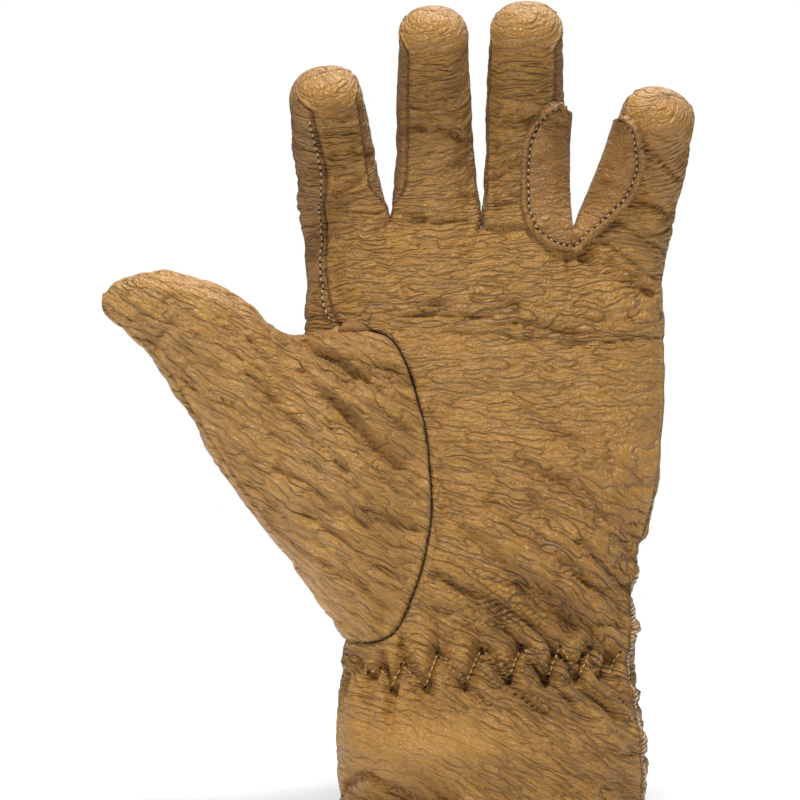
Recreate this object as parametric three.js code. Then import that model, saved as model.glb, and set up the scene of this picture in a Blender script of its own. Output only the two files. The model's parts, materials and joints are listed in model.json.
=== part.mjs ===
// A deerskin glove for the left hand, in the form that it has when worn: palm forward, fingers up and curled.
// Each panel of leather is a sheet worked out as a grid of points and given its thickness towards the hand.
// Millimetres and degrees. +Z runs to the fingertips, the palm faces -Y, and the thumb points to -X.
import * as THREE from "three";

const LEATHER = 1.2;
const SEAM_INSET = 0.25;
const SEAM_REACH = 2.0;
const SECTION_POWER = 2.3;

const PLEATS = 14;
const FINGER_COLUMNS = 7;
const FINGER_ROWS = 10;
const PALM_ROWS = 21;
const BLEND_LENGTH = 15;

// Sections of the hand's body: the two sides, and the depth of the palm and of the back from the middle plane.
const BODY_SECTIONS = [
  { z: -52, left: -41.0, right: 45.5, front: 24.0, back: 25.0 },
  { z: -36, left: -41.8, right: 45.0, front: 24.0, back: 25.0 },
  { z: -20, left: -43.0, right: 44.4, front: 24.0, back: 24.5 },
  { z: -8, left: -42.4, right: 42.6, front: 20.5, back: 22.0 },
  { z: 0, left: -41.4, right: 41.8, front: 19.0, back: 21.0 },
  { z: 10, left: -40.3, right: 42.0, front: 17.5, back: 20.5 },
  { z: 22, left: -41.5, right: 41.6, front: 17.0, back: 20.0 },
  { z: 34, left: -43.0, right: 43.2, front: 17.0, back: 19.5 },
  { z: 48, left: -45.0, right: 46.3, front: 16.5, back: 19.0 },
  { z: 70, left: -48.5, right: 48.8, front: 15.5, back: 18.0 },
  { z: 93, left: -52.0, right: 49.2, front: 14.0, back: 16.5 },
  { z: 108, left: -52.0, right: 48.4, front: 12.0, back: 15.0 },
  { z: 126, left: -53.3, right: 48.4, front: 8.5, back: 11.5 },
];

// How far the gathers at the wrist stand out, and the angle of the outer seam on the little finger's side.
const WRIST = [
  { z: -52, pleat: 1.6, seam: 22 },
  { z: -30, pleat: 1.0, seam: 22 },
  { z: -18, pleat: 0.9, seam: 21 },
  { z: -7, pleat: 1.4, seam: 21 },
  { z: 0, pleat: 1.1, seam: 22 },
  { z: 7, pleat: 0.7, seam: 23 },
  { z: 18, pleat: 0.0, seam: 21 },
  { z: 34, pleat: 0.0, seam: 16 },
  { z: 60, pleat: 0.0, seam: 8 },
  { z: 126, pleat: 0.0, seam: 6 },
];

// The thumb-side edge of each trank panel. A row of the panel runs from (x, z) there to height level at the outer seam.
// face is 1 on the palm's side, -1 on the back and 0 on the side itself.
const CUFF_EDGE = [
  { x: -42.0, z: -37.0, level: -46, face: 0 },
  { x: -43.7, z: -20.0, level: -24, face: 0 },
  { x: -43.4, z: -6.0, level: -7, face: 0 },
  { x: -41.8, z: 3.0, level: 3, face: 0 },
  { x: -40.3, z: 7.6, level: 7, face: 0 },
];
const THUMB_SEAM_FRONT = [
  { x: -33.0, z: 8.2, level: 9.5, face: 1 },
  { x: -26.5, z: 11.5, level: 13, face: 1 },
  { x: -22.3, z: 19.7, level: 20, face: 1 },
  { x: -18.2, z: 32.0, level: 31, face: 1 },
  { x: -16.2, z: 47.0, level: 44, face: 1 },
  { x: -17.2, z: 62.0, level: 58, face: 1 },
  { x: -20.0, z: 75.0, level: 70, face: 1 },
  { x: -23.8, z: 86.5, level: 81, face: 1 },
  { x: -28.5, z: 93.2, level: 88, face: 1 },
  { x: -35.0, z: 95.2, level: 91.5, face: 1 },
];
const THUMB_SEAM_BACK = [
  { x: -36.0, z: 11.0, level: 11, face: -1 },
  { x: -30.0, z: 24.0, level: 23, face: -1 },
  { x: -28.0, z: 42.0, level: 40, face: -1 },
  { x: -29.5, z: 60.0, level: 56, face: -1 },
  { x: -35.0, z: 75.0, level: 70, face: -1 },
  { x: -45.0, z: 87.0, level: 81, face: -1 },
];
const CROTCH = { x: -52.0, z: 92.5, level: 88, face: 0 };
const INDEX_SEAM = [
  { x: -42.0, z: 96.6, level: 94, face: 1 },
  { x: -44.8, z: 102.5, level: 97, face: 1 },
  { x: -45.9, z: 110.0, level: 101, face: 1 },
  { x: -45.6, z: 125.0, level: 108, face: 1 },
];
const TOP_LEVEL = 108;
const BOTTOM_LEVEL = -46;
const FINGER_BASE_LEVEL = 84;
const CORNER_LEVELS = [7, 88, 91.5, 94];

// The crotches between the fingers, on the palm's side, and how much lower they lie on the back.
const WEBS = [
  { x: -27.7, z: 126.0 },
  { x: -2.4, z: 123.0 },
  { x: 23.3, z: 120.0 },
];
const BACK_WEB_DROP = 6;

// Each finger: the middle of its base, its length, its lean to the little finger's side, its curl towards the palm,
// and half widths and half depths at its base, middle and tip.
const FINGERS = [
  {
    name: "index", x: -41.0, y: 0.5, z: 123, length: 48.5, lean: -7, curl: [14, 44],
    width: [12.7, 11.4, 10.3], depth: [11.0, 10.4, 9.2],
    leftFront: [112, 100, 110, 165], leftBack: [112, 100, 110, 165],
    rightFront: [42, 42, 36, 8], rightBack: [-48, -48, -34, 8],
  },
  {
    name: "middle", x: -15.2, y: 0.0, z: 123, length: 64.5, lean: -1, curl: [8, 40],
    width: [12.4, 10.5, 9.5], depth: [11.2, 10.3, 9.2],
    leftFront: [134, 133, 136, 172], leftBack: [226, 226, 212, 172],
    rightFront: [14, 6, 5, 5], rightBack: [-46, -46, -30, 5],
  },
  {
    name: "ring", x: 10.4, y: 0.5, z: 120, length: 68.5, lean: -1, curl: [7, 38],
    width: [12.2, 11.0, 10.0], depth: [11.2, 10.3, 9.3],
    leftFront: [160, 164, 162, 172], leftBack: [226, 226, 214, 172],
    rightFront: [48, 47, 44, 8], rightBack: [-46, -46, -30, 8],
  },
  {
    name: "little", x: 36.4, y: 1.0, z: 113, length: 53, lean: 13, curl: [10, 42],
    width: [12.3, 11.8, 10.4], depth: [10.6, 10.2, 9.2],
    leftFront: [146, 150, 152, 170], leftBack: [226, 226, 214, 170],
    rightFront: [6, 6, 6, 6], rightBack: [6, 6, 6, 6],
  },
];
const SEAM_STATIONS = [0, 0.45, 0.82, 1];
const SIZE_STATIONS = [0, 0.5, 0.85, 1];
const FOURCHETTE_END = 0.84;

// Sections of the thumb from the ball to the tip: its upper and lower edge, the depth of its middle and half its depth.
const THUMB_SECTIONS = [
  { upperX: -55.0, upperZ: 93.4, lowerX: -59.0, lowerZ: 34.0, y: -8.0, depth: 16.0 },
  { upperX: -58.0, upperZ: 94.6, lowerX: -68.5, lowerZ: 46.5, y: -10.5, depth: 15.0 },
  { upperX: -62.0, upperZ: 98.0, lowerX: -76.5, lowerZ: 58.5, y: -12.5, depth: 14.2 },
  { upperX: -67.5, upperZ: 102.8, lowerX: -83.0, lowerZ: 69.5, y: -14.0, depth: 13.4 },
  { upperX: -75.5, upperZ: 107.6, lowerX: -89.0, lowerZ: 80.0, y: -15.5, depth: 12.8 },
  { upperX: -84.5, upperZ: 110.8, lowerX: -95.2, lowerZ: 88.2, y: -16.5, depth: 12.0 },
  { upperX: -94.0, upperZ: 111.4, lowerX: -101.0, lowerZ: 93.8, y: -17.5, depth: 10.0 },
  { upperX: -101.8, upperZ: 108.6, lowerX: -105.6, lowerZ: 98.8, y: -18.0, depth: 6.4 },
  { upperX: -106.8, upperZ: 103.8, lowerX: -106.8, lowerZ: 103.8, y: -18.2, depth: 0.0 },
];
const THUMB_BALL = { front: 7.0, back: 3.5 };
const THUMB_BASE_SHRINK = 0.978;
const THUMB_MIDDLE = { x: -38, z: 50 };
const THUMB_COLUMNS = 24;
const THUMB_ROWS = 18;

// Broad swellings and hollows of the palm's side: middle, radii and height towards the viewer of the palm.
const MOUNDS = [
  { x: 30, z: 45, radiusX: 19, radiusZ: 30, height: 4.5 },
  { x: 2, z: 66, radiusX: 20, radiusZ: 24, height: -2.5 },
  { x: -36, z: 108, radiusX: 10, radiusZ: 16, height: 1.0 },
  { x: -14, z: 105, radiusX: 12, radiusZ: 16, height: 1.8 },
  { x: 11, z: 103, radiusX: 12, radiusZ: 16, height: 1.8 },
  { x: 34, z: 98, radiusX: 12, radiusZ: 14, height: 2.0 },
  { x: 0, z: 14, radiusX: 40, radiusZ: 8, height: -2.5 },
  { x: -16, z: -19, radiusX: 30, radiusZ: 6, height: 2.5 },
];

// Folds of the leather on the palm's side: a line from (x1, z1) to (x2, z2), its depth and its half width.
const FOLDS = [
  { name: "under the little finger", x1: 27, z1: 116, x2: 44, z2: 106, depth: 2.6, width: 2.6 },
  { name: "palm's upper crease", x1: -30, z1: 98, x2: 30, z2: 95, depth: 0.5, width: 4.5 },
  { name: "thumb's crotch", x1: -51, z1: 91, x2: -38, z2: 81, depth: 2.4, width: 3.2 },
  { name: "thumb's first fold", x1: -38, z1: 81, x2: -23, z2: 80, depth: 2.0, width: 3.0 },
  { name: "thumb's second fold", x1: -42, z1: 72, x2: -25, z2: 58, depth: 2.2, width: 3.2 },
  { name: "ball's lower fold", x1: -48, z1: 45, x2: -25, z2: 40, depth: 1.4, width: 3.2 },
  { name: "heel's fold", x1: 4, z1: 50, x2: 40, z2: 18, depth: 1.4, width: 5.0 },
  { name: "heel's second fold", x1: -12, z1: 38, x2: 22, z2: 12, depth: 1.4, width: 5.0 },
  { name: "cuff's deep fold", x1: -40, z1: -34, x2: -12, z2: -33, depth: 3.0, width: 3.4 },
  { name: "index's joint", x1: -52, z1: 139, x2: -32, z2: 142, depth: 1.2, width: 2.8 },
  { name: "middle's joint", x1: -25, z1: 150, x2: -6, z2: 147, depth: 1.4, width: 2.8 },
  { name: "ring's joint", x1: 2, z1: 152, x2: 14, z2: 151, depth: 1.2, width: 2.8 },
  { name: "little's joint", x1: 30, z1: 134, x2: 50, z2: 128, depth: 1.4, width: 2.8 },
];

// The patch between the ring and little fingers: a band in a U, by its edge at the crotch and its outer edge.
const PATCH = [
  { innerX: 19.2, innerZ: 153.0, outerX: 15.6, outerZ: 155.0 },
  { innerX: 19.4, innerZ: 150.0, outerX: 10.6, outerZ: 151.6 },
  { innerX: 19.9, innerZ: 144.0, outerX: 8.4, outerZ: 146.0 },
  { innerX: 20.3, innerZ: 136.0, outerX: 7.7, outerZ: 137.5 },
  { innerX: 20.6, innerZ: 128.0, outerX: 8.4, outerZ: 127.5 },
  { innerX: 21.2, innerZ: 121.0, outerX: 13.2, outerZ: 119.2 },
  { innerX: 23.2, innerZ: 118.6, outerX: 22.3, outerZ: 115.4 },
  { innerX: 26.6, innerZ: 121.0, outerX: 30.4, outerZ: 120.0 },
  { innerX: 29.4, innerZ: 128.0, outerX: 37.2, outerZ: 127.8 },
  { innerX: 31.4, innerZ: 135.0, outerX: 40.8, outerZ: 136.5 },
  { innerX: 33.4, innerZ: 141.5, outerX: 41.0, outerZ: 143.6 },
  { innerX: 34.8, innerZ: 146.0, outerX: 39.6, outerZ: 148.4 },
  { innerX: 35.6, innerZ: 148.0, outerX: 36.4, outerZ: 150.0 },
];
const PATCH_CLEARANCE = 0.85;
const PATCH_THICKNESS = 1.0;
const PATCH_STEPS = 26;
const PATCH_COLUMNS = 3;

const QUIRK = { left: -41.2, right: -34.0, bottom: 96.6, apexX: -38.2, apexZ: 99.6, thickness: 1.0 };

const BINDING = { radius: 1.5, gap: 0.5, sides: 6, steps: 48 };

// Leather colours, in the shades of the photographed glove.
const COLOURS = {
  palm: 0xa9824f,
  back: 0x9c7646,
  thumb: 0xbd9460,
  fourchette: 0x7f6038,
  patch: 0x8c6a3d,
  quirk: 0x8f6c40,
  binding: 0xc2a274,
};

function radians(angle) {
  return (angle * Math.PI) / 180;
}

function mix(a, b, share) {
  return a + (b - a) * share;
}

function smooth(share) {
  const x = Math.min(1, Math.max(0, share));
  return x * x * (3 - 2 * x);
}

// A cubic curve through the values of one column of a table, read at a place on another column.
function sample(table, axis, column, place) {
  const last = table.length - 1;
  const at = Math.min(table[last][axis], Math.max(table[0][axis], place));
  let i = 0;
  while (i < last - 1 && at > table[i + 1][axis]) i += 1;
  const slope = (a, b) => (table[b][column] - table[a][column]) / (table[b][axis] - table[a][axis]);
  const step = table[i + 1][axis] - table[i][axis];
  const x = (at - table[i][axis]) / step;
  const start = slope(Math.max(0, i - 1), Math.min(last, i + 1)) * step;
  const end = slope(i, Math.min(last, i + 2)) * step;
  const a = table[i][column];
  const b = table[i + 1][column];
  const square = x * x;
  const cube = square * x;
  return (
    a * (2 * cube - 3 * square + 1) + start * (cube - 2 * square + x) +
    b * (3 * square - 2 * cube) + end * (cube - square)
  );
}

// A list of values at given stations, read between them in smooth steps.
function staged(stations, values, share) {
  let i = 0;
  while (i < stations.length - 2 && share > stations[i + 1]) i += 1;
  const step = (share - stations[i]) / (stations[i + 1] - stations[i]);
  return mix(values[i], values[i + 1], smooth(step));
}

function bulge(value, power) {
  return Math.sign(value) * Math.abs(value) ** (2 / power);
}

function bodySection(z) {
  const left = sample(BODY_SECTIONS, "z", "left", z);
  const right = sample(BODY_SECTIONS, "z", "right", z);
  return {
    middle: (left + right) / 2,
    half: (right - left) / 2,
    front: sample(BODY_SECTIONS, "z", "front", z),
    back: sample(BODY_SECTIONS, "z", "back", z),
  };
}

// The angle round the body at which a section passes through x: 0 on the right, 90 at the palm, 270 at the back.
function bodyAngle(x, z, face) {
  const section = bodySection(z);
  const across = Math.min(1, Math.max(-1, (x - section.middle) / section.half));
  const turned = Math.sign(across) * Math.abs(across) ** (SECTION_POWER / 2);
  const angle = (Math.acos(turned) * 180) / Math.PI;
  if (face === 0) return 180;
  return face > 0 ? angle : 360 - angle;
}

// A point of the hand's body: a rounded oval in each section, with the gathers of the wrist on it.
function bodyPoint(angle, z) {
  const section = bodySection(z);
  const cosine = Math.cos(radians(angle));
  const sine = Math.sin(radians(angle));
  const depth = sine > 0 ? section.front : section.back;
  const pleat = sample(WRIST, "z", "pleat", z) * Math.cos(radians(PLEATS * angle));
  return new THREE.Vector3(
    section.middle + section.half * bulge(cosine, SECTION_POWER) + pleat * cosine,
    -depth * bulge(sine, SECTION_POWER) - pleat * sine,
    z,
  );
}

// The relief of the palm's side at (x, z): swellings less folds, towards the viewer of the palm.
function relief(x, z) {
  let height = 0;
  for (const mound of MOUNDS) {
    const across = (x - mound.x) / mound.radiusX;
    const along = (z - mound.z) / mound.radiusZ;
    height += mound.height * Math.exp(-(across * across + along * along));
  }
  for (const fold of FOLDS) {
    const runX = fold.x2 - fold.x1;
    const runZ = fold.z2 - fold.z1;
    const share = ((x - fold.x1) * runX + (z - fold.z1) * runZ) / (runX * runX + runZ * runZ);
    const near = Math.min(1, Math.max(0, share));
    const distance = Math.hypot(x - fold.x1 - near * runX, z - fold.z1 - near * runZ) / fold.width;
    height -= fold.depth * Math.exp(-distance * distance);
  }
  return height;
}

// Where and which way a finger's middle line runs at a distance from its base.
function fingerLine(finger, distance) {
  const steps = 16;
  const point = new THREE.Vector3(finger.x, finger.y, finger.z);
  const lean = radians(finger.lean);
  const curlAt = (along) => radians(mix(finger.curl[0], finger.curl[1], smooth(along / finger.length)));
  for (let i = 0; i < steps; i += 1) {
    const curl = curlAt(((i + 0.5) / steps) * distance);
    const run = distance / steps;
    point.x += Math.sin(lean) * Math.cos(curl) * run;
    point.y -= Math.sin(curl) * run;
    point.z += Math.cos(lean) * Math.cos(curl) * run;
  }
  const curl = curlAt(distance);
  return {
    point,
    ahead: new THREE.Vector3(Math.sin(lean) * Math.cos(curl), -Math.sin(curl), Math.cos(lean) * Math.cos(curl)),
    across: new THREE.Vector3(Math.cos(lean), 0, -Math.sin(lean)),
    front: new THREE.Vector3(-Math.sin(lean) * Math.sin(curl), -Math.cos(curl), -Math.cos(lean) * Math.sin(curl)),
  };
}

// How wide and deep a finger is at a distance from its base; its end is a blunt dome as long as the tip is wide.
function fingerSize(finger, distance) {
  const share = distance / finger.length;
  const domeLength = finger.width[2];
  const along = Math.max(0, (distance - finger.length + domeLength) / domeLength);
  const dome = Math.max(0, 1 - along ** 2.4) ** (1 / 2.4);
  const tips = (values) => [values[0], values[1], values[2], values[2]];
  return {
    width: staged(SIZE_STATIONS, tips(finger.width), share) * dome,
    depth: staged(SIZE_STATIONS, tips(finger.depth), share) * dome,
    dome: 1 - dome,
  };
}

// A point of a finger: an oval section across its middle line. side moves it to the front or back at the tip's seam.
function fingerPoint(finger, angle, distance, side = 0) {
  const line = fingerLine(finger, distance);
  const size = fingerSize(finger, distance);
  return line.point
    .addScaledVector(line.across, size.width * bulge(Math.cos(radians(angle)), SECTION_POWER))
    .addScaledVector(line.front, size.depth * bulge(Math.sin(radians(angle)), SECTION_POWER))
    .addScaledVector(line.front, side * SEAM_INSET * smooth(size.dome * 4));
}

// The distances of a finger's rows from its base, closer together over the dome of the tip.
function fingerRows(finger, count) {
  const domeLength = finger.width[2];
  const domeRows = 4;
  const distances = [];
  for (let i = 1; i <= count - domeRows; i += 1) {
    distances.push(((finger.length - domeLength) * i) / (count - domeRows));
  }
  for (let i = 1; i <= domeRows; i += 1) {
    distances.push(finger.length - domeLength + domeLength * Math.sin(radians((90 * i) / domeRows)));
  }
  return distances;
}

function seamAngle(finger, seam, distance) {
  return staged(SEAM_STATIONS, finger[seam], distance / finger.length);
}

function insetAngle(radius) {
  return Math.min(30, ((SEAM_INSET / Math.max(radius, 0.1)) * 180) / Math.PI);
}

// A finger's row starts as the body's top row and takes the finger's own section within the blend length.
function settled(finger, base, point, distance) {
  const rise = base.clone().addScaledVector(fingerLine(finger, 0).ahead, distance);
  return rise.lerp(point, smooth(distance / BLEND_LENGTH));
}

// The two trank panels share one layout: which edge each has at the thumb, its face and its crotches' heights.
const TRANKS = {
  palm: {
    side: 1,
    edge: [...CUFF_EDGE, ...THUMB_SEAM_FRONT, ...INDEX_SEAM],
    drop: 0,
    scallop: 4.2,
  },
  back: {
    side: -1,
    edge: [...CUFF_EDGE, ...THUMB_SEAM_BACK, CROTCH, ...INDEX_SEAM],
    drop: BACK_WEB_DROP,
    scallop: 3.6,
  },
};
for (const trank of Object.values(TRANKS)) {
  trank.edge = trank.edge.map((row) => ({ ...row, angle: bodyAngle(row.x, row.z, row.face) }));
}

// The ends of a trank panel's row at a level: angles round the body and heights at the thumb and at the outer seam.
function rowEnds(trank, level) {
  const turn = trank.side > 0 ? 0 : 360;
  const seam = sample(WRIST, "z", "seam", level);
  const inset = insetAngle(bodySection(level).half);
  return {
    start: sample(trank.edge, "level", "angle", level) - trank.side * inset,
    startZ: sample(trank.edge, "level", "z", level),
    end: turn + seam + trank.side * inset,
    endZ: level,
  };
}

// Shares of a row's angle at which the four fingers' strips begin and end: even at the cuff, at the crotches on top.
function stripShares(trank, level) {
  const top = rowEnds(trank, TOP_LEVEL);
  const face = trank.side;
  const even = [0, 0.25, 0.5, 0.75, 1];
  const crotches = WEBS.map((web) => {
    const angle = bodyAngle(web.x, web.z - trank.drop, face);
    return (angle - top.start) / (top.end - top.start);
  });
  const wanted = [0, ...crotches, 1];
  const share = smooth((level - 20) / (TOP_LEVEL - 20));
  return even.map((value, i) => mix(value, wanted[i], share));
}

// How much the top of the panel rises over a straight row, at the ends of the strips and between them.
function topRise(trank, strip, across) {
  const top = rowEnds(trank, TOP_LEVEL);
  const shares = stripShares(trank, TOP_LEVEL);
  const heights = [top.startZ, ...WEBS.map((web) => web.z - trank.drop), top.endZ];
  const straight = mix(top.startZ, top.endZ, mix(shares[strip], shares[strip + 1], across));
  return mix(heights[strip], heights[strip + 1], across) - straight;
}

// A point of a trank panel in the strip below one finger, at a level and a share across the strip.
function trankPoint(trank, strip, across, level) {
  const ends = rowEnds(trank, level);
  const shares = stripShares(trank, level);
  const share = mix(shares[strip], shares[strip + 1], across);
  const nearTop = smooth((level - FINGER_BASE_LEVEL) / (TOP_LEVEL - FINGER_BASE_LEVEL));
  const z = mix(ends.startZ, ends.endZ, share) + topRise(trank, strip, across) * nearTop;
  const point = bodyPoint(mix(ends.start, ends.end, share), z);
  point.y -= trank.side * trank.scallop * nearTop * nearTop * Math.sin(Math.PI * across) ** 0.8;
  return point;
}

// The levels of a trank panel's rows: evenly spaced, with a row at each corner of the thumb's seams.
function trankLevels() {
  const step = (TOP_LEVEL - BOTTOM_LEVEL) / PALM_ROWS;
  const even = Array.from({ length: PALM_ROWS + 1 }, (none, row) => BOTTOM_LEVEL + row * step);
  const clear = even.filter((level) => CORNER_LEVELS.every((corner) => Math.abs(level - corner) > step / 4));
  return [...clear, ...CORNER_LEVELS].sort((a, b) => a - b);
}

function trankStrip(trank, strip) {
  const finger = FINGERS[strip];
  const grid = [];
  for (const level of trankLevels()) {
    const points = [];
    for (let column = 0; column <= FINGER_COLUMNS; column += 1) {
      points.push(trankPoint(trank, strip, column / FINGER_COLUMNS, level));
    }
    grid.push(points);
  }
  const base = grid[grid.length - 1];
  const front = trank.side > 0;
  for (const distance of fingerRows(finger, FINGER_ROWS)) {
    const inset = insetAngle(fingerSize(finger, distance).width);
    const start = seamAngle(finger, front ? "leftFront" : "leftBack", distance) - trank.side * inset;
    const end = seamAngle(finger, front ? "rightFront" : "rightBack", distance) + trank.side * inset;
    grid.push(
      base.map((point, column) => {
        const angle = mix(start, front ? end : end + 360, column / FINGER_COLUMNS);
        return settled(finger, point, fingerPoint(finger, angle, distance, trank.side), distance);
      }),
    );
  }
  return grid;
}

// The relief moves the points of a grid that face the palm's side.
function reliefGrid(grid) {
  return grid.map((points) =>
    points.map((point) => {
      const moved = point.clone();
      moved.y -= relief(point.x, point.z) * smooth((3 - point.y) / 6);
      return moved;
    }),
  );
}

// A fourchette runs down the side of one finger, through the crotch and up the side of the next.
function fourchetteGrid(index) {
  const web = WEBS[index];
  const columns = 4;
  const crotchInset = 1.3;
  const frontWeb = trankPoint(TRANKS.palm, index, 1, TOP_LEVEL);
  const backWeb = trankPoint(TRANKS.back, index, 1, TOP_LEVEL);
  const half = (finger, frontSeam, backSeam, turn) => {
    const distances = [0, ...fingerRows(finger, FINGER_ROWS)].filter((d) => d <= finger.length * FOURCHETTE_END);
    return distances.map((distance) => {
      const size = fingerSize(finger, distance);
      const inset = insetAngle(size.width);
      const front = seamAngle(finger, frontSeam, distance) + turn * inset;
      const back = seamAngle(finger, backSeam, distance) - turn * inset;
      const settle = smooth(distance / BLEND_LENGTH);
      const margin = (crotchInset * (1 - settle)) / frontWeb.distanceTo(backWeb);
      const points = [];
      for (let column = 0; column <= columns; column += 1) {
        const share = mix(margin, 1 - margin, column / columns);
        const base = frontWeb.clone().lerp(backWeb, share);
        points.push(settled(finger, base, fingerPoint(finger, mix(front, back, share), distance), distance));
      }
      return points;
    });
  };
  const down = half(FINGERS[index], "rightFront", "rightBack", -1).reverse();
  const up = half(FINGERS[index + 1], "leftFront", "leftBack", 1);
  return [...down, ...up.slice(1)];
}

// A curve through a list of points, read at a share of its count of steps.
function along(points, share) {
  return new THREE.CatmullRomCurve3(points, false, "centripetal").getPoint(share);
}

// The edge of the hole in which the thumb is set: from the crotch down the palm's seam, and back up the other.
function thumbBase(turn) {
  const drawnIn = ({ x, z, face }) => {
    const nearX = mix(THUMB_MIDDLE.x, x, THUMB_BASE_SHRINK);
    const nearZ = mix(THUMB_MIDDLE.z, z, THUMB_BASE_SHRINK);
    return bodyPoint(bodyAngle(nearX, nearZ, face), nearZ);
  };
  const bottom = CUFF_EDGE[CUFF_EDGE.length - 1];
  const corner = { x: -42.5, z: 95.6, face: 1 };
  const front = [CROTCH, corner, ...[...THUMB_SEAM_FRONT].reverse(), bottom].map(drawnIn);
  const back = [bottom, ...THUMB_SEAM_BACK, CROTCH].map(drawnIn);
  return turn <= 180 ? along(front, turn / 180) : along(back, (turn - 180) / 180);
}

function thumbSection(section, turn) {
  const cosine = bulge(Math.cos(radians(turn)), SECTION_POWER);
  const sine = bulge(Math.sin(radians(turn)), SECTION_POWER);
  return new THREE.Vector3(
    mix(section.lowerX, section.upperX, (1 + cosine) / 2),
    section.y - section.depth * sine,
    mix(section.lowerZ, section.upperZ, (1 + cosine) / 2),
  );
}

// The thumb and its ball are one tube: each line of it starts on the edge of the hole and runs out to the tip.
function thumbGrid() {
  const lines = [];
  for (let column = 0; column <= THUMB_COLUMNS; column += 1) {
    const turn = (360 * column) / THUMB_COLUMNS;
    const base = thumbBase(turn);
    const sections = THUMB_SECTIONS.map((section) => thumbSection(section, turn));
    const ball = base.clone().lerp(sections[0], 0.5);
    const sine = Math.sin(radians(turn));
    ball.y -= sine * (sine > 0 ? THUMB_BALL.front : THUMB_BALL.back);
    lines.push([base, ball, ...sections]);
  }
  const grid = [];
  for (let row = 0; row <= THUMB_ROWS; row += 1) {
    grid.push(lines.map((points) => along(points, row / THUMB_ROWS)));
  }
  return grid;
}

// Joins grids into one sheet: points that lie together are one, and faces without area are dropped.
function sheetOf(grids, flipped) {
  const points = [];
  const numbers = new Map();
  const faces = [];
  const numberOf = (point) => {
    const key = point.toArray().map((value) => Math.round(value * 1000)).join(" ");
    if (!numbers.has(key)) {
      numbers.set(key, points.length);
      points.push(point.clone());
    }
    return numbers.get(key);
  };
  const addFace = (a, b, c) => {
    if (a === b || b === c || c === a) return;
    faces.push(flipped ? [a, c, b] : [a, b, c]);
  };
  for (const grid of grids) {
    const ids = grid.map((row) => row.map(numberOf));
    for (let row = 0; row + 1 < ids.length; row += 1) {
      for (let column = 0; column + 1 < ids[row].length; column += 1) {
        const [a, b] = [ids[row][column], ids[row][column + 1]];
        const [c, d] = [ids[row + 1][column + 1], ids[row + 1][column]];
        addFace(a, b, c);
        addFace(a, c, d);
      }
    }
  }
  return { points, faces, normals: faceNormals(points, faces), rim: rimEdges(faces) };
}

// The edges that only one face has, each from its start to its end.
function rimEdges(faces) {
  const edges = new Set();
  for (const [a, b, c] of faces) {
    for (const [start, end] of [[a, b], [b, c], [c, a]]) edges.add(`${start} ${end}`);
  }
  const numbers = [...edges].map((edge) => edge.split(" ").map(Number));
  return numbers.filter(([start, end]) => !edges.has(`${end} ${start}`));
}

function faceNormals(points, faces) {
  const normals = points.map(() => new THREE.Vector3());
  const edgeA = new THREE.Vector3();
  const edgeB = new THREE.Vector3();
  for (const [a, b, c] of faces) {
    edgeA.subVectors(points[b], points[a]);
    edgeB.subVectors(points[c], points[a]);
    edgeA.cross(edgeB);
    for (const corner of [a, b, c]) normals[corner].add(edgeA);
  }
  return normals.map((normal) => normal.normalize());
}

// Sheets that meet at a seam turn their rims the same way there, so that neither runs into the other.
function shareRims(sheets) {
  const rims = sheets.map((sheet) => {
    const numbers = [...new Set(sheet.rim.flat())];
    return numbers.map((number) => ({ number, point: sheet.points[number], normal: sheet.normals[number].clone() }));
  });
  rims.forEach((rim, own) => {
    for (const corner of rim) {
      const normal = corner.normal.clone();
      rims.forEach((other, neighbour) => {
        if (neighbour === own) return;
        const away = (candidate) => candidate.point.distanceTo(corner.point);
        const nearest = other.reduce((best, candidate) => (away(candidate) < away(best) ? candidate : best));
        if (away(nearest) < SEAM_REACH) normal.add(nearest.normal);
      });
      sheets[own].normals[corner.number] = normal.normalize();
    }
  });
}

// Gives a sheet its thickness: outside and inside at their distances along the normals, and a rim round the edges.
function thicken(sheet, outside, inside) {
  const { points, normals } = sheet;
  const count = points.length;
  const raised = (distance) => points.map((point, i) => point.clone().addScaledVector(normals[i], distance));
  const corners = [...raised(outside), ...raised(inside)];
  const triangles = [...sheet.faces, ...sheet.faces.map(([a, b, c]) => [c + count, b + count, a + count])];
  for (const [start, end] of sheet.rim) {
    triangles.push([end, start, start + count], [end, start + count, end + count]);
  }
  return geometryOf(corners, triangles);
}

function geometryOf(corners, triangles) {
  const geometry = new THREE.BufferGeometry();
  geometry.setAttribute("position", new THREE.Float32BufferAttribute(corners.flatMap((p) => p.toArray()), 3));
  geometry.setIndex(triangles.flat());
  geometry.computeVertexNormals();
  return geometry;
}

// The depth at which a line of sight along +Y through (x, z) first meets one of the sheets.
function frontDepth(sheets, x, z) {
  let depth = Infinity;
  for (const { points, faces } of sheets) {
    for (const [i, j, k] of faces) {
      const [a, b, c] = [points[i], points[j], points[k]];
      const area = (b.x - a.x) * (c.z - a.z) - (c.x - a.x) * (b.z - a.z);
      if (Math.abs(area) < 1e-9) continue;
      const second = ((x - a.x) * (c.z - a.z) - (c.x - a.x) * (z - a.z)) / area;
      const third = ((b.x - a.x) * (z - a.z) - (x - a.x) * (b.z - a.z)) / area;
      if (second < -1e-6 || third < -1e-6 || second + third > 1 + 1e-6) continue;
      depth = Math.min(depth, a.y + second * (b.y - a.y) + third * (c.y - a.y));
    }
  }
  return depth;
}

// Over the gap of a seam the depth is that of the nearest point of the sheets' palm side.
function nearestDepth(sheets, x, z) {
  const points = sheets.flatMap((sheet) => sheet.points).filter((point) => point.y < 0);
  const away = (point) => Math.hypot(point.x - x, point.z - z);
  return points.reduce((best, point) => (away(point) < away(best) ? point : best)).y;
}

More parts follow.
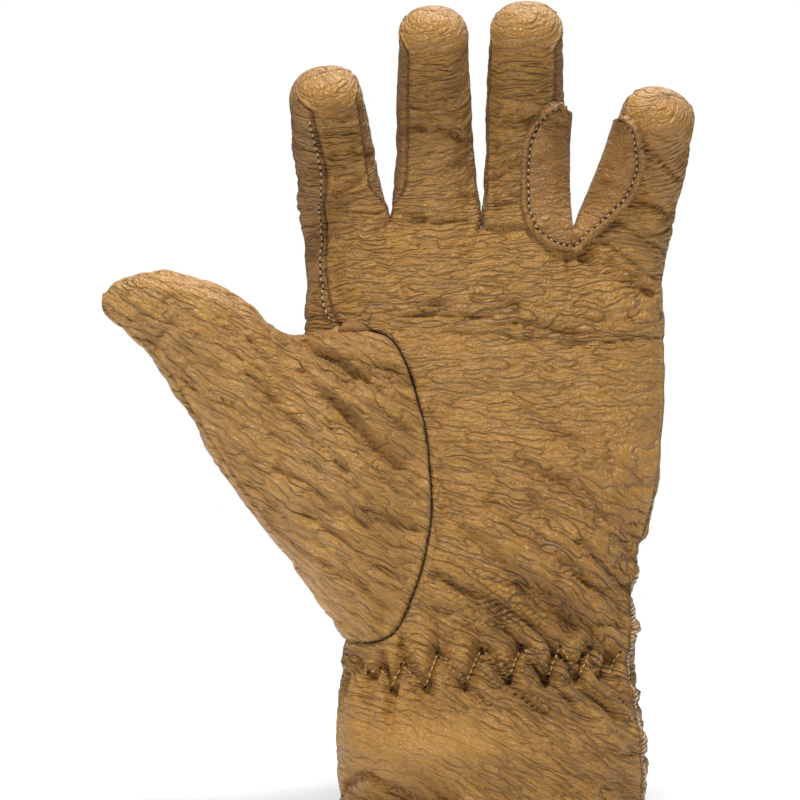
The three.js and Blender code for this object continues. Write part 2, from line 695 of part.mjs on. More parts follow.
// A band laid on the sheets below it, from rows of points given in the plane of the palm.
function drapedGrid(rows, sheets) {
  return rows.map((row) =>
    row.map(({ x, z }) => {
      const depth = frontDepth(sheets, x, z);
      return new THREE.Vector3(x, Number.isFinite(depth) ? depth : nearestDepth(sheets, x, z), z);
    }),
  );
}

function patchRows() {
  const read = (column) => {
    const curve = new THREE.SplineCurve(PATCH.map((row) => new THREE.Vector2(row[`${column}X`], row[`${column}Z`])));
    return curve.getPoints(PATCH_STEPS);
  };
  const inner = read("inner");
  const outer = read("outer");
  return inner.map((near, i) => {
    const row = [];
    for (let column = 0; column <= PATCH_COLUMNS; column += 1) {
      const share = column / PATCH_COLUMNS;
      row.push({ x: mix(near.x, outer[i].x, share), z: mix(near.y, outer[i].y, share) });
    }
    return row;
  });
}

// The quirk: a small rounded triangle of leather above the top of the thumb seam.
function quirkRows() {
  const rows = [];
  const steps = 4;
  for (let i = 0; i <= steps; i += 1) {
    const rise = i / steps;
    const spread = (1 - rise) ** 0.7;
    const row = [];
    for (let j = 0; j <= steps; j += 1) {
      const flat = mix(QUIRK.left, QUIRK.right, j / steps);
      row.push({ x: mix(QUIRK.apexX, flat, spread), z: mix(QUIRK.bottom, QUIRK.apexZ, rise) });
    }
    rows.push(row);
  }
  return rows;
}

// The rolled edge of the cuff: a thin tube just below the lowest row of both trank panels.
function bindingGeometry() {
  const middles = [];
  const normals = [];
  for (let step = 0; step < BINDING.steps; step += 1) {
    const angle = (360 * step) / BINDING.steps;
    const left = CUFF_EDGE[0];
    const seam = sample(WRIST, "z", "seam", BOTTOM_LEVEL);
    const front = angle >= seam && angle <= 180;
    const span = front ? (angle - seam) / (180 - seam) : ((seam + 360 - angle) % 360) / (180 + seam);
    const z = mix(BOTTOM_LEVEL, left.z, span);
    const edge = bodyPoint(angle, z);
    edge.y -= front ? relief(edge.x, edge.z) * smooth((3 - edge.y) / 6) : 0;
    const outward = new THREE.Vector3(Math.cos(radians(angle)), -Math.sin(radians(angle)), 0);
    edge.addScaledVector(outward, -LEATHER / 2);
    edge.z -= BINDING.radius + BINDING.gap;
    middles.push(edge);
    normals.push(outward);
  }
  const corners = [];
  const triangles = [];
  middles.forEach((middle, step) => {
    for (let side = 0; side < BINDING.sides; side += 1) {
      const turn = radians((360 * side) / BINDING.sides);
      const corner = middle.clone().addScaledVector(normals[step], BINDING.radius * Math.cos(turn));
      corner.z += BINDING.radius * Math.sin(turn);
      corners.push(corner);
      const next = (step + 1) % BINDING.steps;
      const following = (side + 1) % BINDING.sides;
      const a = step * BINDING.sides + side;
      const b = next * BINDING.sides + side;
      const c = next * BINDING.sides + following;
      const d = step * BINDING.sides + following;
      triangles.push([a, c, b], [a, d, c]);
    }
  });
  return geometryOf(corners, triangles);
}

function leather(name, geometry, colour) {
  const material = new THREE.MeshStandardMaterial({ color: colour, roughness: 0.75, metalness: 0 });
  const mesh = new THREE.Mesh(geometry, material);
  mesh.name = name;
  return mesh;
}

const strips = FINGERS.map((finger, i) => i);
const palmSheet = sheetOf(strips.map((i) => reliefGrid(trankStrip(TRANKS.palm, i))), false);
const backSheet = sheetOf(strips.map((i) => reliefGrid(trankStrip(TRANKS.back, i))), true);
const thumbSheet = sheetOf([reliefGrid(thumbGrid())], true);
const fourchetteSheets = WEBS.map((web, i) => sheetOf([reliefGrid(fourchetteGrid(i))], true));
shareRims([palmSheet, backSheet, thumbSheet, ...fourchetteSheets]);
const patchSheet = sheetOf([drapedGrid(patchRows(), [palmSheet, fourchetteSheets[2]])], false);
const quirkSheet = sheetOf([drapedGrid(quirkRows(), [palmSheet])], false);

const glove = new THREE.Group();
glove.add(leather("palm_panel", thicken(palmSheet, 0, -LEATHER), COLOURS.palm));
glove.add(leather("back_panel", thicken(backSheet, 0, -LEATHER), COLOURS.back));
glove.add(leather("thumb_panel", thicken(thumbSheet, 0, -LEATHER), COLOURS.thumb));
fourchetteSheets.forEach((sheet, i) => {
  const name = `fourchette_${FINGERS[i].name}_${FINGERS[i + 1].name}`;
  glove.add(leather(name, thicken(sheet, 0, -LEATHER), COLOURS.fourchette));
});
const patchTop = PATCH_CLEARANCE + PATCH_THICKNESS;
glove.add(leather("rein_patch", thicken(patchSheet, patchTop, PATCH_CLEARANCE), COLOURS.patch));
const quirkTop = PATCH_CLEARANCE + QUIRK.thickness;
glove.add(leather("thumb_quirk", thicken(quirkSheet, quirkTop, PATCH_CLEARANCE), COLOURS.quirk));
glove.add(leather("cuff_binding", bindingGeometry(), COLOURS.binding));

export default glove;
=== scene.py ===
"""A deerskin glove for the left hand: leather panels, patch, gathers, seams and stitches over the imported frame.

Shapes are worked out in millimetres and degrees in the frame of the solids, where +Z runs to the fingertips, the
palm faces -Y and the thumb points to -X, and they go into the meshes in metres. The tables of the hand's form
repeat those of the part's source.
"""

import json
import logging
import math
from dataclasses import dataclass, field
from enum import Enum
from functools import reduce
from typing import ClassVar

import bpy
import numpy as np
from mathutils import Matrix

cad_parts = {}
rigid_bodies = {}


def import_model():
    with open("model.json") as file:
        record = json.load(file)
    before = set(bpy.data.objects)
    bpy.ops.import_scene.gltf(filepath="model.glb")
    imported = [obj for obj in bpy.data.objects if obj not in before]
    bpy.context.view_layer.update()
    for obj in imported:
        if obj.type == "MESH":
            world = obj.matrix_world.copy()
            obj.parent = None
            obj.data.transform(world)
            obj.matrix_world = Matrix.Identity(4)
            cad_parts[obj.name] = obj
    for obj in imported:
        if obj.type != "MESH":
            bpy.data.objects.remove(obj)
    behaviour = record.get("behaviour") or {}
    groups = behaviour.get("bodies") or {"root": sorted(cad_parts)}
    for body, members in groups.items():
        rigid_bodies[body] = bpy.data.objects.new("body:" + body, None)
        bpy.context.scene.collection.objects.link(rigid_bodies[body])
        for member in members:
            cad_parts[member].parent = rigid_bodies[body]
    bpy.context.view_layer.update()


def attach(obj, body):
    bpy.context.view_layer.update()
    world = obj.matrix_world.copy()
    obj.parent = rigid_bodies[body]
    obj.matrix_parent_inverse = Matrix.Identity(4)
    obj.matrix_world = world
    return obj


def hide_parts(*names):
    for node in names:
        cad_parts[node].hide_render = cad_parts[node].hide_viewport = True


Array = np.ndarray
Dye = tuple[int, int, int]
Piece = bpy.types.Object
Socket = bpy.types.NodeSocket
LOG = logging.getLogger("glove")
MM = 0.001
LEATHER = 1.2
SEAM_INSET = 0.06
SEAM_REACH = 0.6
SECTION_POWER = 2.3
DOME_POWER = 2.4
DOME_ROWS = 18
BLEND_LENGTH = 15.0
TOP_LEVEL = 108.0
BOTTOM_LEVEL = -46.0
HOLE_BOTTOM, HOLE_CROTCH, HOLE_TOP = 7.0, 88.0, 94.0
FINGER_BASE_LEVEL = 84.0
BACK_WEB_DROP = 6.0
FOURCHETTE_END = 0.945

# Extra rows of the tranks near the corners of the thumb's hole: first level, last level and count.
CORNER_ROWS = ((7, 13, 20), (88, 97, 16))

# Sections of the hand's body: height, left, right, and the depth of the palm and of the back.
BODY = np.array([
    (-52, -41.0, 45.5, 24.0, 25.0),
    (-36, -41.8, 45.0, 24.0, 25.0),
    (-20, -43.0, 44.4, 24.0, 24.5),
    (-8, -42.4, 42.6, 20.5, 22.0),
    (0, -41.4, 41.8, 19.0, 21.0),
    (10, -40.3, 42.0, 17.5, 20.5),
    (22, -41.5, 41.6, 17.0, 20.0),
    (34, -43.0, 43.2, 17.0, 19.5),
    (48, -45.0, 46.3, 16.5, 19.0),
    (70, -48.5, 48.8, 15.5, 18.0),
    (93, -52.0, 49.2, 14.0, 16.5),
    (108, -52.0, 48.4, 12.0, 15.0),
    (126, -53.3, 48.4, 8.5, 11.5),
])

# The angle of the outer seam on the little finger's side, by height.
OUTER_SEAM = np.array([
    (-52, 22), (-30, 22), (-18, 21), (-7, 21), (0, 22), (7, 23), (18, 21), (34, 16), (60, 8), (126, 6),
], dtype=float)

# The thumb-side edge of each trank panel: x, z, level of the row, and face, 1 on the palm's side and -1 on the back.
CUFF_EDGE = [
    (-42.0, -37.0, -46, 0), (-43.7, -20.0, -24, 0), (-43.4, -6.0, -7, 0), (-41.8, 3.0, 3, 0), (-40.3, 7.6, 7, 0),
]
THUMB_SEAM_FRONT = [
    (-33.0, 8.2, 9.5, 1), (-26.5, 11.5, 13, 1), (-22.3, 19.7, 20, 1), (-18.2, 32.0, 31, 1), (-16.2, 47.0, 44, 1),
    (-17.2, 62.0, 58, 1), (-20.0, 75.0, 70, 1), (-23.8, 86.5, 81, 1), (-28.5, 93.2, 88, 1), (-35.0, 95.2, 91.5, 1),
]
THUMB_SEAM_BACK = [
    (-36.0, 11.0, 11, -1), (-30.0, 24.0, 23, -1), (-28.0, 42.0, 40, -1), (-29.5, 60.0, 56, -1),
    (-35.0, 75.0, 70, -1), (-45.0, 87.0, 81, -1),
]
CROTCH = (-52.0, 92.5, 88, 0)
INDEX_SEAM = [(-42.0, 96.6, 94, 1), (-44.8, 102.5, 97, 1), (-45.9, 110.0, 101, 1), (-45.6, 125.0, 108, 1)]

# The crotches between the fingers, on the palm's side: x and z.
WEBS = np.array([(-27.7, 126.0), (-2.4, 123.0), (23.3, 120.0)])

SEAM_STATIONS = np.array([0, 0.45, 0.86, 0.955])
SIZE_STATIONS = np.array([0, 0.5, 0.85, 1])

# Sections of the thumb from the ball to the tip: upper edge x, z, lower edge x, z, middle y, half depth.
THUMB_SECTIONS = np.array([
    (-55.0, 93.4, -59.0, 34.0, -8.0, 16.0),
    (-58.0, 94.6, -68.5, 46.5, -10.5, 15.0),
    (-62.0, 98.0, -76.5, 58.5, -12.5, 14.2),
    (-67.5, 102.8, -83.0, 69.5, -14.0, 13.4),
    (-75.5, 107.6, -89.0, 80.0, -15.5, 12.8),
    (-84.5, 110.8, -95.2, 88.2, -16.5, 12.0),
    (-94.0, 111.4, -101.0, 93.8, -17.5, 10.0),
    (-101.8, 108.6, -105.6, 98.8, -18.0, 6.4),
    (-106.8, 103.8, -106.8, 103.8, -18.2, 0.0),
])

# Broad swellings and hollows of the palm's side: middle x, z, radii in x and z, height.
MOUNDS = np.array([
    (30, 45, 19, 30, 4.5), (2, 66, 20, 24, -2.5), (-36, 108, 10, 16, 1.0), (-14, 105, 12, 16, 1.8),
    (11, 103, 12, 16, 1.8), (34, 98, 12, 14, 2.0), (0, 14, 40, 8, -2.5), (-16, -19, 30, 6, 2.5),
])

# Main folds of the palm's side, as in the solids: ends x, z and x, z, depth, half width.
FOLDS = np.array([
    (27, 116, 44, 106, 2.6, 2.6), (-30, 98, 30, 95, 0.5, 4.5), (-51, 91, -38, 81, 2.4, 3.2),
    (-38, 81, -23, 80, 2.0, 3.0), (-42, 72, -25, 58, 2.2, 3.2), (-48, 45, -25, 40, 1.4, 3.2),
    (4, 50, 40, 18, 1.4, 5.0), (-12, 38, 22, 12, 1.4, 5.0), (-40, -34, -12, -33, 3.0, 3.4),
    (-52, 139, -32, 142, 1.2, 2.8), (-25, 150, -6, 147, 1.4, 2.8), (2, 152, 14, 151, 1.2, 2.8),
    (30, 134, 50, 128, 1.4, 2.8),
])

# Finer creases that only the leather shows: ends x, z and x, z, depth, half width.
CREASES = np.array([
    (25, 115, 46, 104.5, 1.3, 1.0), (-28, 125, -6, 124.5, 0.9, 1.0), (-3, 123, 20, 122, 0.8, 1.0),
    (21.3, 117, 21.3, 111, 0.7, 0.9),
    (-52, 92, -48.1, 88.7, 1.5, 1.2), (-48.1, 88.7, -37.3, 86.3, 1.5, 1.1), (-37.3, 86.3, -25, 83.2, 1.3, 1.0),
    (-48.1, 88.7, -38.4, 82.9, 2.0, 1.3), (-38.4, 82.9, -32.5, 79.4, 2.0, 1.4), (-32.5, 79.4, -21, 73.4, 1.7, 1.3),
    (-52, 84, -46.6, 77.4, 1.4, 1.6), (-46.6, 77.4, -37.3, 69.2, 2.1, 1.8), (-37.3, 69.2, -30.5, 62.4, 2.1, 1.9),
    (-30.5, 62.4, -21, 53.5, 1.8, 1.6), (-46, 84, -22, 66.5, 1.0, 0.9), (-36, 84.5, -22.5, 79, 0.9, 0.8),
    (-44, 69, -22, 47.5, 1.1, 1.0), (-52, 50, -34, 45.6, 1.0, 1.1), (-34, 45.6, -19, 40.0, 1.4, 1.4),
    (-66, 82, -40, 56, 1.1, 1.2), (-66, 92, -48, 72, 0.9, 1.0), (-60, 66, -38, 48, 0.9, 1.1),
    (-58, 57, -22, 34, 1.1, 1.2), (-52, 44, -23, 26, 1.0, 1.1), (-46, 32, -27, 18, 0.9, 1.0),
    (-74, 98, -60, 80, 0.8, 1.0), (-86, 104, -68, 86, 0.7, 1.0),
    (0, 47, 38, 16, 1.5, 1.9), (8, 60, 46, 34, 1.1, 1.8), (-8, 40, 24, 13, 1.6, 1.9), (-14, 28, 8, 10, 1.4, 1.9),
    (20, 52, 46, 27, 1.4, 1.9), (-4, 56, 20, 40, 0.7, 1.6), (10, 72, 44, 52, 0.8, 1.7), (24, 36, 42, 20, 1.3, 1.8),
    (-24, 98.5, 6, 99.5, 0.9, 0.8), (-20, 102, 20, 101, 0.7, 0.9), (-12, 94.5, 34, 91, 0.7, 0.9),
    (6, 97, 40, 92, 0.7, 0.8), (-26, 105, 4, 106.5, 0.5, 0.8),
    (-44, 141.5, -33, 143.5, 0.9, 1.0), (-23, 150.5, -8, 148.5, 1.1, 1.0), (-24, 156, -10, 154, 0.6, 0.9),
    (3, 153, 13, 152, 0.8, 0.9), (4, 133, 12, 132, 0.5, 0.8), (32, 135, 48, 129, 0.8, 0.9),
    (38, 146, 52, 138, 0.7, 0.9), (34, 125, 50, 116, 0.7, 0.9), (30, 119, 47, 109, 0.9, 0.9),
    (-51, 128, -36, 136, 0.7, 1.1), (-52, 116, -38, 124, 0.8, 1.2), (-50, 105, -42, 112, 0.9, 1.2),
    (-41.5, -34, -36.6, -28.4, 2.2, 1.3), (-36.6, -28.4, -33.4, -27.5, 2.2, 1.2), (-33.4, -27.5, -29, -30, 2.4, 1.3),
    (-29, -30, -19, -34.5, 2.2, 1.5), (-93, 92, -84, 97, 0.9, 2.2), (-96, 97, -88, 103, 0.5, 1.0),
])

# The zigzag of the elastic at the wrist: x and z of its turns on the palm's side, from the thumb to the outer seam.
ZIGZAG = np.array([
    (-34.0, 0.0), (-30.6, 1.2), (-27.6, -4.6), (-24.8, 2.4), (-18.2, -3.7), (-14.9, 5.6), (-7.3, -2.4),
    (-2.5, 6.7), (4.9, -0.7), (8.5, 7.5), (15.6, -1.2), (19.1, 7.5), (24.3, -1.0), (27.9, 6.7), (32.3, -1.5),
])

# The same with the two turns that follow it round to the outer seam.
THREAD_TURNS = np.concatenate([ZIGZAG, [(36.2, 5.4), (39.6, -1.5)]])

# Long soft valleys of the skin: length and breadth of the noise whose zero lines they are, depth, and seed.
VALLEYS = ((40.0, 6.0, 2.0, 31), (24.0, 4.2, 1.3, 37), (18.0, 2.8, 0.7, 41))

# The patch between the ring and little fingers: the edge at the crotch x, z and the outer edge x, z.
PATCH = np.array([
    (21.2, 156.0, 20.9, 156.6), (21.1, 153.5, 17.3, 157.2), (21.0, 151.0, 14.2, 155.6), (20.9, 148.5, 11.6, 152.4),
    (20.9, 145.5, 9.7, 149.2), (20.9, 142.0, 8.7, 145.8), (20.9, 138.0, 8.2, 140.0), (21.0, 133.5, 8.2, 133.1),
    (21.2, 129.0, 8.8, 126.6), (21.4, 125.5, 10.8, 122.2), (21.7, 123.0, 14.0, 118.8), (22.3, 121.8, 17.9, 117.1),
    (23.2, 121.4, 22.2, 116.7), (24.5, 122.2, 25.8, 118.1), (25.4, 124.4, 29.0, 120.4), (26.4, 127.0, 32.5, 123.4),
    (27.6, 130.0, 35.8, 126.8), (29.0, 133.4, 39.0, 130.4), (30.4, 137.0, 41.0, 134.8), (31.8, 140.6, 41.9, 139.6),
    (33.0, 144.2, 41.6, 143.8), (34.0, 147.4, 40.8, 147.8), (34.6, 149.8, 39.2, 151.0), (35.0, 151.4, 37.0, 152.5),
    (35.2, 152.6, 35.6, 152.9),
])


# Small mathematics on whole arrays


def mix(a: Array | float, b: Array | float, share: Array | float) -> Array | float:
    """The value that lies at a share of the way from a to b."""
    return a + (b - a) * share


def smooth(share: Array | float) -> Array:
    """A share from 0 to 1 with level ends: 3x^2 - 2x^3, held at 0 and 1 outside them."""
    x = np.clip(share, 0, 1)
    return x * x * (3 - 2 * x)


def bulge(value: Array) -> Array:
    """Turns a cosine or sine into that of a rounded oval: its size to the power 2 / SECTION_POWER, its sign kept."""
    return np.sign(value) * np.abs(value) ** (2 / SECTION_POWER)


def between(a: Array, b: Array, start: Array, end: Array, x: Array) -> Array:
    """The cubic from a to b whose slope goes from start to end, at shares x."""
    square, cube = x * x, x * x * x
    first = a * (2 * cube - 3 * square + 1) + start * (cube - 2 * square + x)
    return first + b * (3 * square - 2 * cube) + end * (cube - square)


def cubic(knots: Array, values: Array, at: Array | float) -> Array:
    """A cubic curve through values at knots, with slopes from the knots on either side.

    Args:
        knots: rising places.
        values: one value for each knot.
        at: the places to read, held between the first and the last knot.

    Returns:
        The curve's values at those places.
    """
    last = len(knots) - 1
    place = np.clip(at, knots[0], knots[-1])
    i = np.searchsorted(knots[1:last], place, side="left")
    before = np.maximum(0, i - 1)
    after = np.minimum(last, i + 1)
    beyond = np.minimum(last, i + 2)
    step = knots[i + 1] - knots[i]
    x = (place - knots[i]) / step
    start = (values[after] - values[before]) / (knots[after] - knots[before]) * step
    end = (values[beyond] - values[i]) / (knots[beyond] - knots[i]) * step
    return between(values[i], values[i + 1], start, end, x)


def steady(knots: Array, values: Array, at: Array | float) -> Array:
    """A cubic curve through values at knots that never swings past them: slopes are the harmonic mean of the steps'.

    Args:
        knots: rising places.
        values: one value for each knot.
        at: the places to read, held between the first and the last knot.

    Returns:
        The curve's values at those places.
    """
    place = np.clip(at, knots[0], knots[-1])
    i = np.clip(np.searchsorted(knots, place, side="right") - 1, 0, len(knots) - 2)
    step = np.diff(knots)
    rate = np.diff(values) / step
    same = rate[:-1] * rate[1:] > 0
    inner = np.where(same, 2 * rate[:-1] * rate[1:] / np.where(same, rate[:-1] + rate[1:], 1), 0)
    slope = np.concatenate([rate[:1], inner, rate[-1:]])
    x = (place - knots[i]) / step[i]
    return between(values[i], values[i + 1], slope[i] * step[i], slope[i + 1] * step[i], x)


def staged(stations: Array, values: Array, share: Array) -> Array:
    """Values at stations, read between them in smooth steps.

    Args:
        stations: rising places.
        values: one value for each.
        share: the places to read.

    Returns:
        The values there.
    """
    i = np.clip(np.searchsorted(stations, share, side="left") - 1, 0, len(stations) - 2)
    step = (share - stations[i]) / (stations[i + 1] - stations[i])
    return mix(values[i], values[i + 1], smooth(step))


def spline(points: Array, shares: Array) -> Array:
    """Centripetal curves through rows of points, where the spacing of the points is the root of their distance.

    Args:
        points: lines x points x 3.
        shares: places along the curves, from 0 at the first point to 1 at the last.

    Returns:
        lines x shares x 3.
    """
    count = points.shape[1]
    first = 2 * points[:, :1] - points[:, 1:2]
    final = 2 * points[:, -1:] - points[:, -2:-1]
    padded = np.concatenate([first, points, final], axis=1)
    place = (count - 1) * np.asarray(shares, float)
    i = np.minimum(place.astype(int), count - 2)
    weight = (place - i)[None, :, None]
    p0, p1, p2, p3 = padded[:, i], padded[:, i + 1], padded[:, i + 2], padded[:, i + 3]
    gap = [np.sum((b - a) ** 2, axis=2, keepdims=True) ** 0.25 for a, b in ((p0, p1), (p1, p2), (p2, p3))]
    gap[1] = np.where(gap[1] < 1e-4, 1.0, gap[1])
    gap[0] = np.where(gap[0] < 1e-4, gap[1], gap[0])
    gap[2] = np.where(gap[2] < 1e-4, gap[1], gap[2])
    start = ((p1 - p0) / gap[0] - (p2 - p0) / (gap[0] + gap[1]) + (p2 - p1) / gap[1]) * gap[1]
    end = ((p2 - p1) / gap[1] - (p3 - p1) / (gap[1] + gap[2]) + (p3 - p2) / gap[2]) * gap[1]
    square, cube = weight**2, weight**3
    return p1 + start * weight + (3 * (p2 - p1) - 2 * start - end) * square + (2 * (p1 - p2) + start + end) * cube


def unit(vectors: Array) -> Array:
    """The same vectors at length 1."""
    return vectors / np.maximum(np.linalg.norm(vectors, axis=-1, keepdims=True), 1e-9)


def scrambled(cells: Array, seed: int) -> Array:
    """A number from 0 to 1 for each whole-numbered cell, always the same: its coordinates multiplied and mixed.

    Args:
        cells: whole numbers, in threes.
        seed: which set of numbers.

    Returns:
        One number for each cell.
    """
    n = cells.astype(np.int64).astype(np.uint64)
    mixed = n[..., 0] * np.uint64(374761393) + n[..., 1] * np.uint64(668265263) + n[..., 2] * np.uint64(2147483647)
    mixed = (mixed + np.uint64(seed * 7919)) & np.uint64(0xFFFFFFFF)
    mixed = ((mixed ^ (mixed >> np.uint64(13))) * np.uint64(1274126177)) & np.uint64(0xFFFFFFFF)
    mixed = ((mixed ^ (mixed >> np.uint64(16))) * np.uint64(2246822519)) & np.uint64(0xFFFFFFFF)
    return ((mixed ^ (mixed >> np.uint64(15))) & np.uint64(0xFFFFFF)).astype(float) / 0xFFFFFF


def noise(points: Array, seed: int) -> Array:
    """Smooth noise from -1 to 1: the numbers of the eight cells round each point, mixed by smooth shares.

    Args:
        points: places, in threes.
        seed: which noise.

    Returns:
        One value for each place.
    """
    base = np.floor(points)
    share = smooth(points - base)
    total = np.zeros(points.shape[:-1])
    for corner in np.ndindex(2, 2, 2):
        weight = np.prod(np.where(np.array(corner), share, 1 - share), axis=-1)
        total += weight * scrambled(base + np.array(corner), seed)
    return total * 2 - 1


def cracks(points: Array, seed: int) -> Array:
    """How near each point is to the border between two cells: 0 on the border, larger inside a cell.

    Each whole-numbered box holds one cell's middle at a scrambled place. The result is the distance to the second
    nearest middle less the distance to the nearest.

    Args:
        points: places, in threes.
        seed: which pattern of cells.

    Returns:
        One distance for each place.
    """
    base = np.floor(points)
    nearest = np.full(points.shape[:-1], 9.0)
    second = np.full(points.shape[:-1], 9.0)
    for shift in np.ndindex(3, 3, 3):
        cell = base + np.array(shift) - 1
        middle = cell + np.stack([scrambled(cell, seed + axis) for axis in range(3)], axis=-1)
        away = np.linalg.norm(points - middle, axis=-1)
        second = np.minimum(second, np.maximum(nearest, away))
        nearest = np.minimum(nearest, away)
    return second - nearest


def near_lines(x: Array, z: Array, lines: Array, summed: bool = True) -> Array:
    """The depth of bell-shaped grooves at each point: their sum, or else the deepest.

    Args:
        x: the points' x.
        z: their z.
        lines: rows of the ends x1, z1 and x2, z2, depth and half width.
        summed: adds the grooves where they meet; otherwise the deepest counts.

    Returns:
        One depth for each point: depth times exp(-(distance / width)^2).
    """
    total = np.zeros(x.shape)
    for x1, z1, x2, z2, depth, width in lines:
        run_x, run_z = x2 - x1, z2 - z1
        share = np.clip(((x - x1) * run_x + (z - z1) * run_z) / (run_x**2 + run_z**2), 0, 1)
        away = np.hypot(x - x1 - share * run_x, z - z1 - share * run_z) / width
        groove = depth * np.exp(-away * away)
        total = total + groove if summed else np.maximum(total, groove)
    return total


# The form of the hand that fills the glove


class Face(Enum):
    """The side of the glove that a panel is on: its palm faces -Y."""

    PALM = 1
    BACK = -1


@dataclass(frozen=True)
class Finger:
    """One finger: the middle of its base, its length, lean and curl, its sizes, and the angles of its seams."""

    name: str
    base: tuple[float, float, float]
    length: float
    lean: float
    curl: tuple[float, float]
    width: tuple[float, float, float]
    depth: tuple[float, float, float]
    left_front: tuple[float, ...]
    left_back: tuple[float, ...]
    right_front: tuple[float, ...]
    right_back: tuple[float, ...]

    def line(self, distance: Array) -> dict[str, Array]:
        """Its middle line, where the curl grows smoothly from base to tip: sixteen even steps are added up.

        Args:
            distance: distances from the base.

        Returns:
            The points, and the directions ahead, across and to the front there.
        """
        steps = 16
        lean = math.radians(self.lean)
        share = (np.arange(steps) + 0.5) / steps
        curl = np.radians(mix(*self.curl, smooth(distance[:, None] * share / self.length)))
        run = distance / steps
        point = np.stack([
            self.base[0] + math.sin(lean) * np.cos(curl).sum(1) * run,
            self.base[1] - np.sin(curl).sum(1) * run,
            self.base[2] + math.cos(lean) * np.cos(curl).sum(1) * run,
        ], axis=-1)
        here = np.radians(mix(*self.curl, smooth(distance / self.length)))
        sine, cosine = np.sin(here), np.cos(here)
        return {
            "point": point,
            "ahead": np.stack([math.sin(lean) * cosine, -sine, math.cos(lean) * cosine], axis=-1),
            "across": np.tile([math.cos(lean), 0, -math.sin(lean)], (len(distance), 1)),
            "front": np.stack([-math.sin(lean) * sine, -cosine, -math.cos(lean) * sine], axis=-1),
        }

    def size(self, distance: Array) -> dict[str, Array]:
        """Half width and half depth along the finger; the tip is a blunt dome as long as it is wide.

        Args:
            distance: distances from the base.

        Returns:
            The width, the depth, and how far the dome has closed.
        """
        share = distance / self.length
        dome_length = self.width[2]
        along = np.clip((distance - self.length + dome_length) / dome_length, 0, 1)
        dome = (1 - along**DOME_POWER) ** (1 / DOME_POWER)
        return {
            "width": staged(SIZE_STATIONS, np.array([*self.width, self.width[2]]), share) * dome,
            "depth": staged(SIZE_STATIONS, np.array([*self.depth, self.depth[2]]), share) * dome,
            "dome": 1 - dome,
        }

    def place(self, angle: Array, distance: Array, side: float = 0) -> Array:
        """Points of the finger: a rounded oval across its middle line, at angles (rows x columns) and distances.

        Args:
            angle: angles round the section.
            distance: distances from the base.
            side: 1 on the palm's panel, -1 on the back's, 0 on neither.

        Returns:
            Rows x columns x 3.
        """
        line, size = self.line(distance), self.size(distance)
        turn = np.radians(angle)
        out = (size["width"][:, None] * bulge(np.cos(turn)))[..., None] * line["across"][:, None]
        front = (size["depth"][:, None] * bulge(np.sin(turn)))[..., None] * line["front"][:, None]
        inset = (side * SEAM_INSET * smooth(size["dome"] * 4))[:, None, None] * line["front"][:, None]
        return line["point"][:, None] + out + front + inset

    def rows(self, straight: int, dome: int) -> Array:
        """Distances of the rows from the base, closer together over the dome of the tip.

        Args:
            straight: rows below the dome.
            dome: rows over it.

        Returns:
            The distances.
        """
        dome_length = self.width[2]
        lower = (self.length - dome_length) * np.arange(1, straight + 1) / straight
        upper = self.length - dome_length + dome_length * np.sin(np.radians(90 * np.arange(1, dome + 1) / dome))
        return np.concatenate([lower, upper])

    def seam(self, angles: tuple[float, ...], distance: Array) -> Array:
        """The angle of a seam at distances from the base."""
        return staged(SEAM_STATIONS, np.array(angles, float), distance / self.length)

    def settled(self, base: Array, points: Array, distance: Array) -> Array:
        """Rows that start as the base row, pushed ahead, and take the finger's own section within BLEND_LENGTH.

        Args:
            base: the base row, or one for each row.
            points: the finger's own rows.
            distance: distances from the base.

        Returns:
            The blended rows.
        """
        ahead = self.line(np.zeros(1))["ahead"][0]
        rise = base + ahead * distance[:, None, None]
        return mix(rise, points, smooth(distance / BLEND_LENGTH)[:, None, None])


FINGERS = (
    Finger("index", (-41.0, 0.5, 123), 48.5, -7, (14, 44), (12.7, 11.4, 10.3), (11.0, 10.4, 9.2),
           (112, 100, 110, 172), (112, 100, 110, 172), (42, 42, 36, -20), (-48, -48, -36, -20)),
    Finger("middle", (-15.2, 0.0, 123), 64.5, -1, (8, 40), (12.4, 10.5, 9.5), (11.2, 10.3, 9.2),
           (134, 133, 136, 204), (226, 226, 216, 204), (14, 6, 2, -22), (-46, -46, -36, -22)),
    Finger("ring", (10.4, 0.5, 120), 68.5, -1, (7, 38), (12.2, 11.0, 10.0), (11.2, 10.3, 9.3),
           (160, 164, 166, 204), (226, 226, 218, 204), (48, 47, 40, -22), (-46, -46, -36, -22)),
    Finger("little", (36.4, 1.0, 113), 53, 13, (10, 42), (12.3, 11.8, 10.4), (10.6, 10.2, 9.2),
           (146, 150, 154, 202), (226, 226, 216, 202), (6, 6, 4, -18), (6, 6, 4, -18)),
)


def inset_angle(radius: Array) -> Array:
    """The angle by which a panel's edge stays back from the middle of its seam, for a radius."""
    return np.minimum(30, np.degrees(SEAM_INSET / np.maximum(radius, 0.1)))


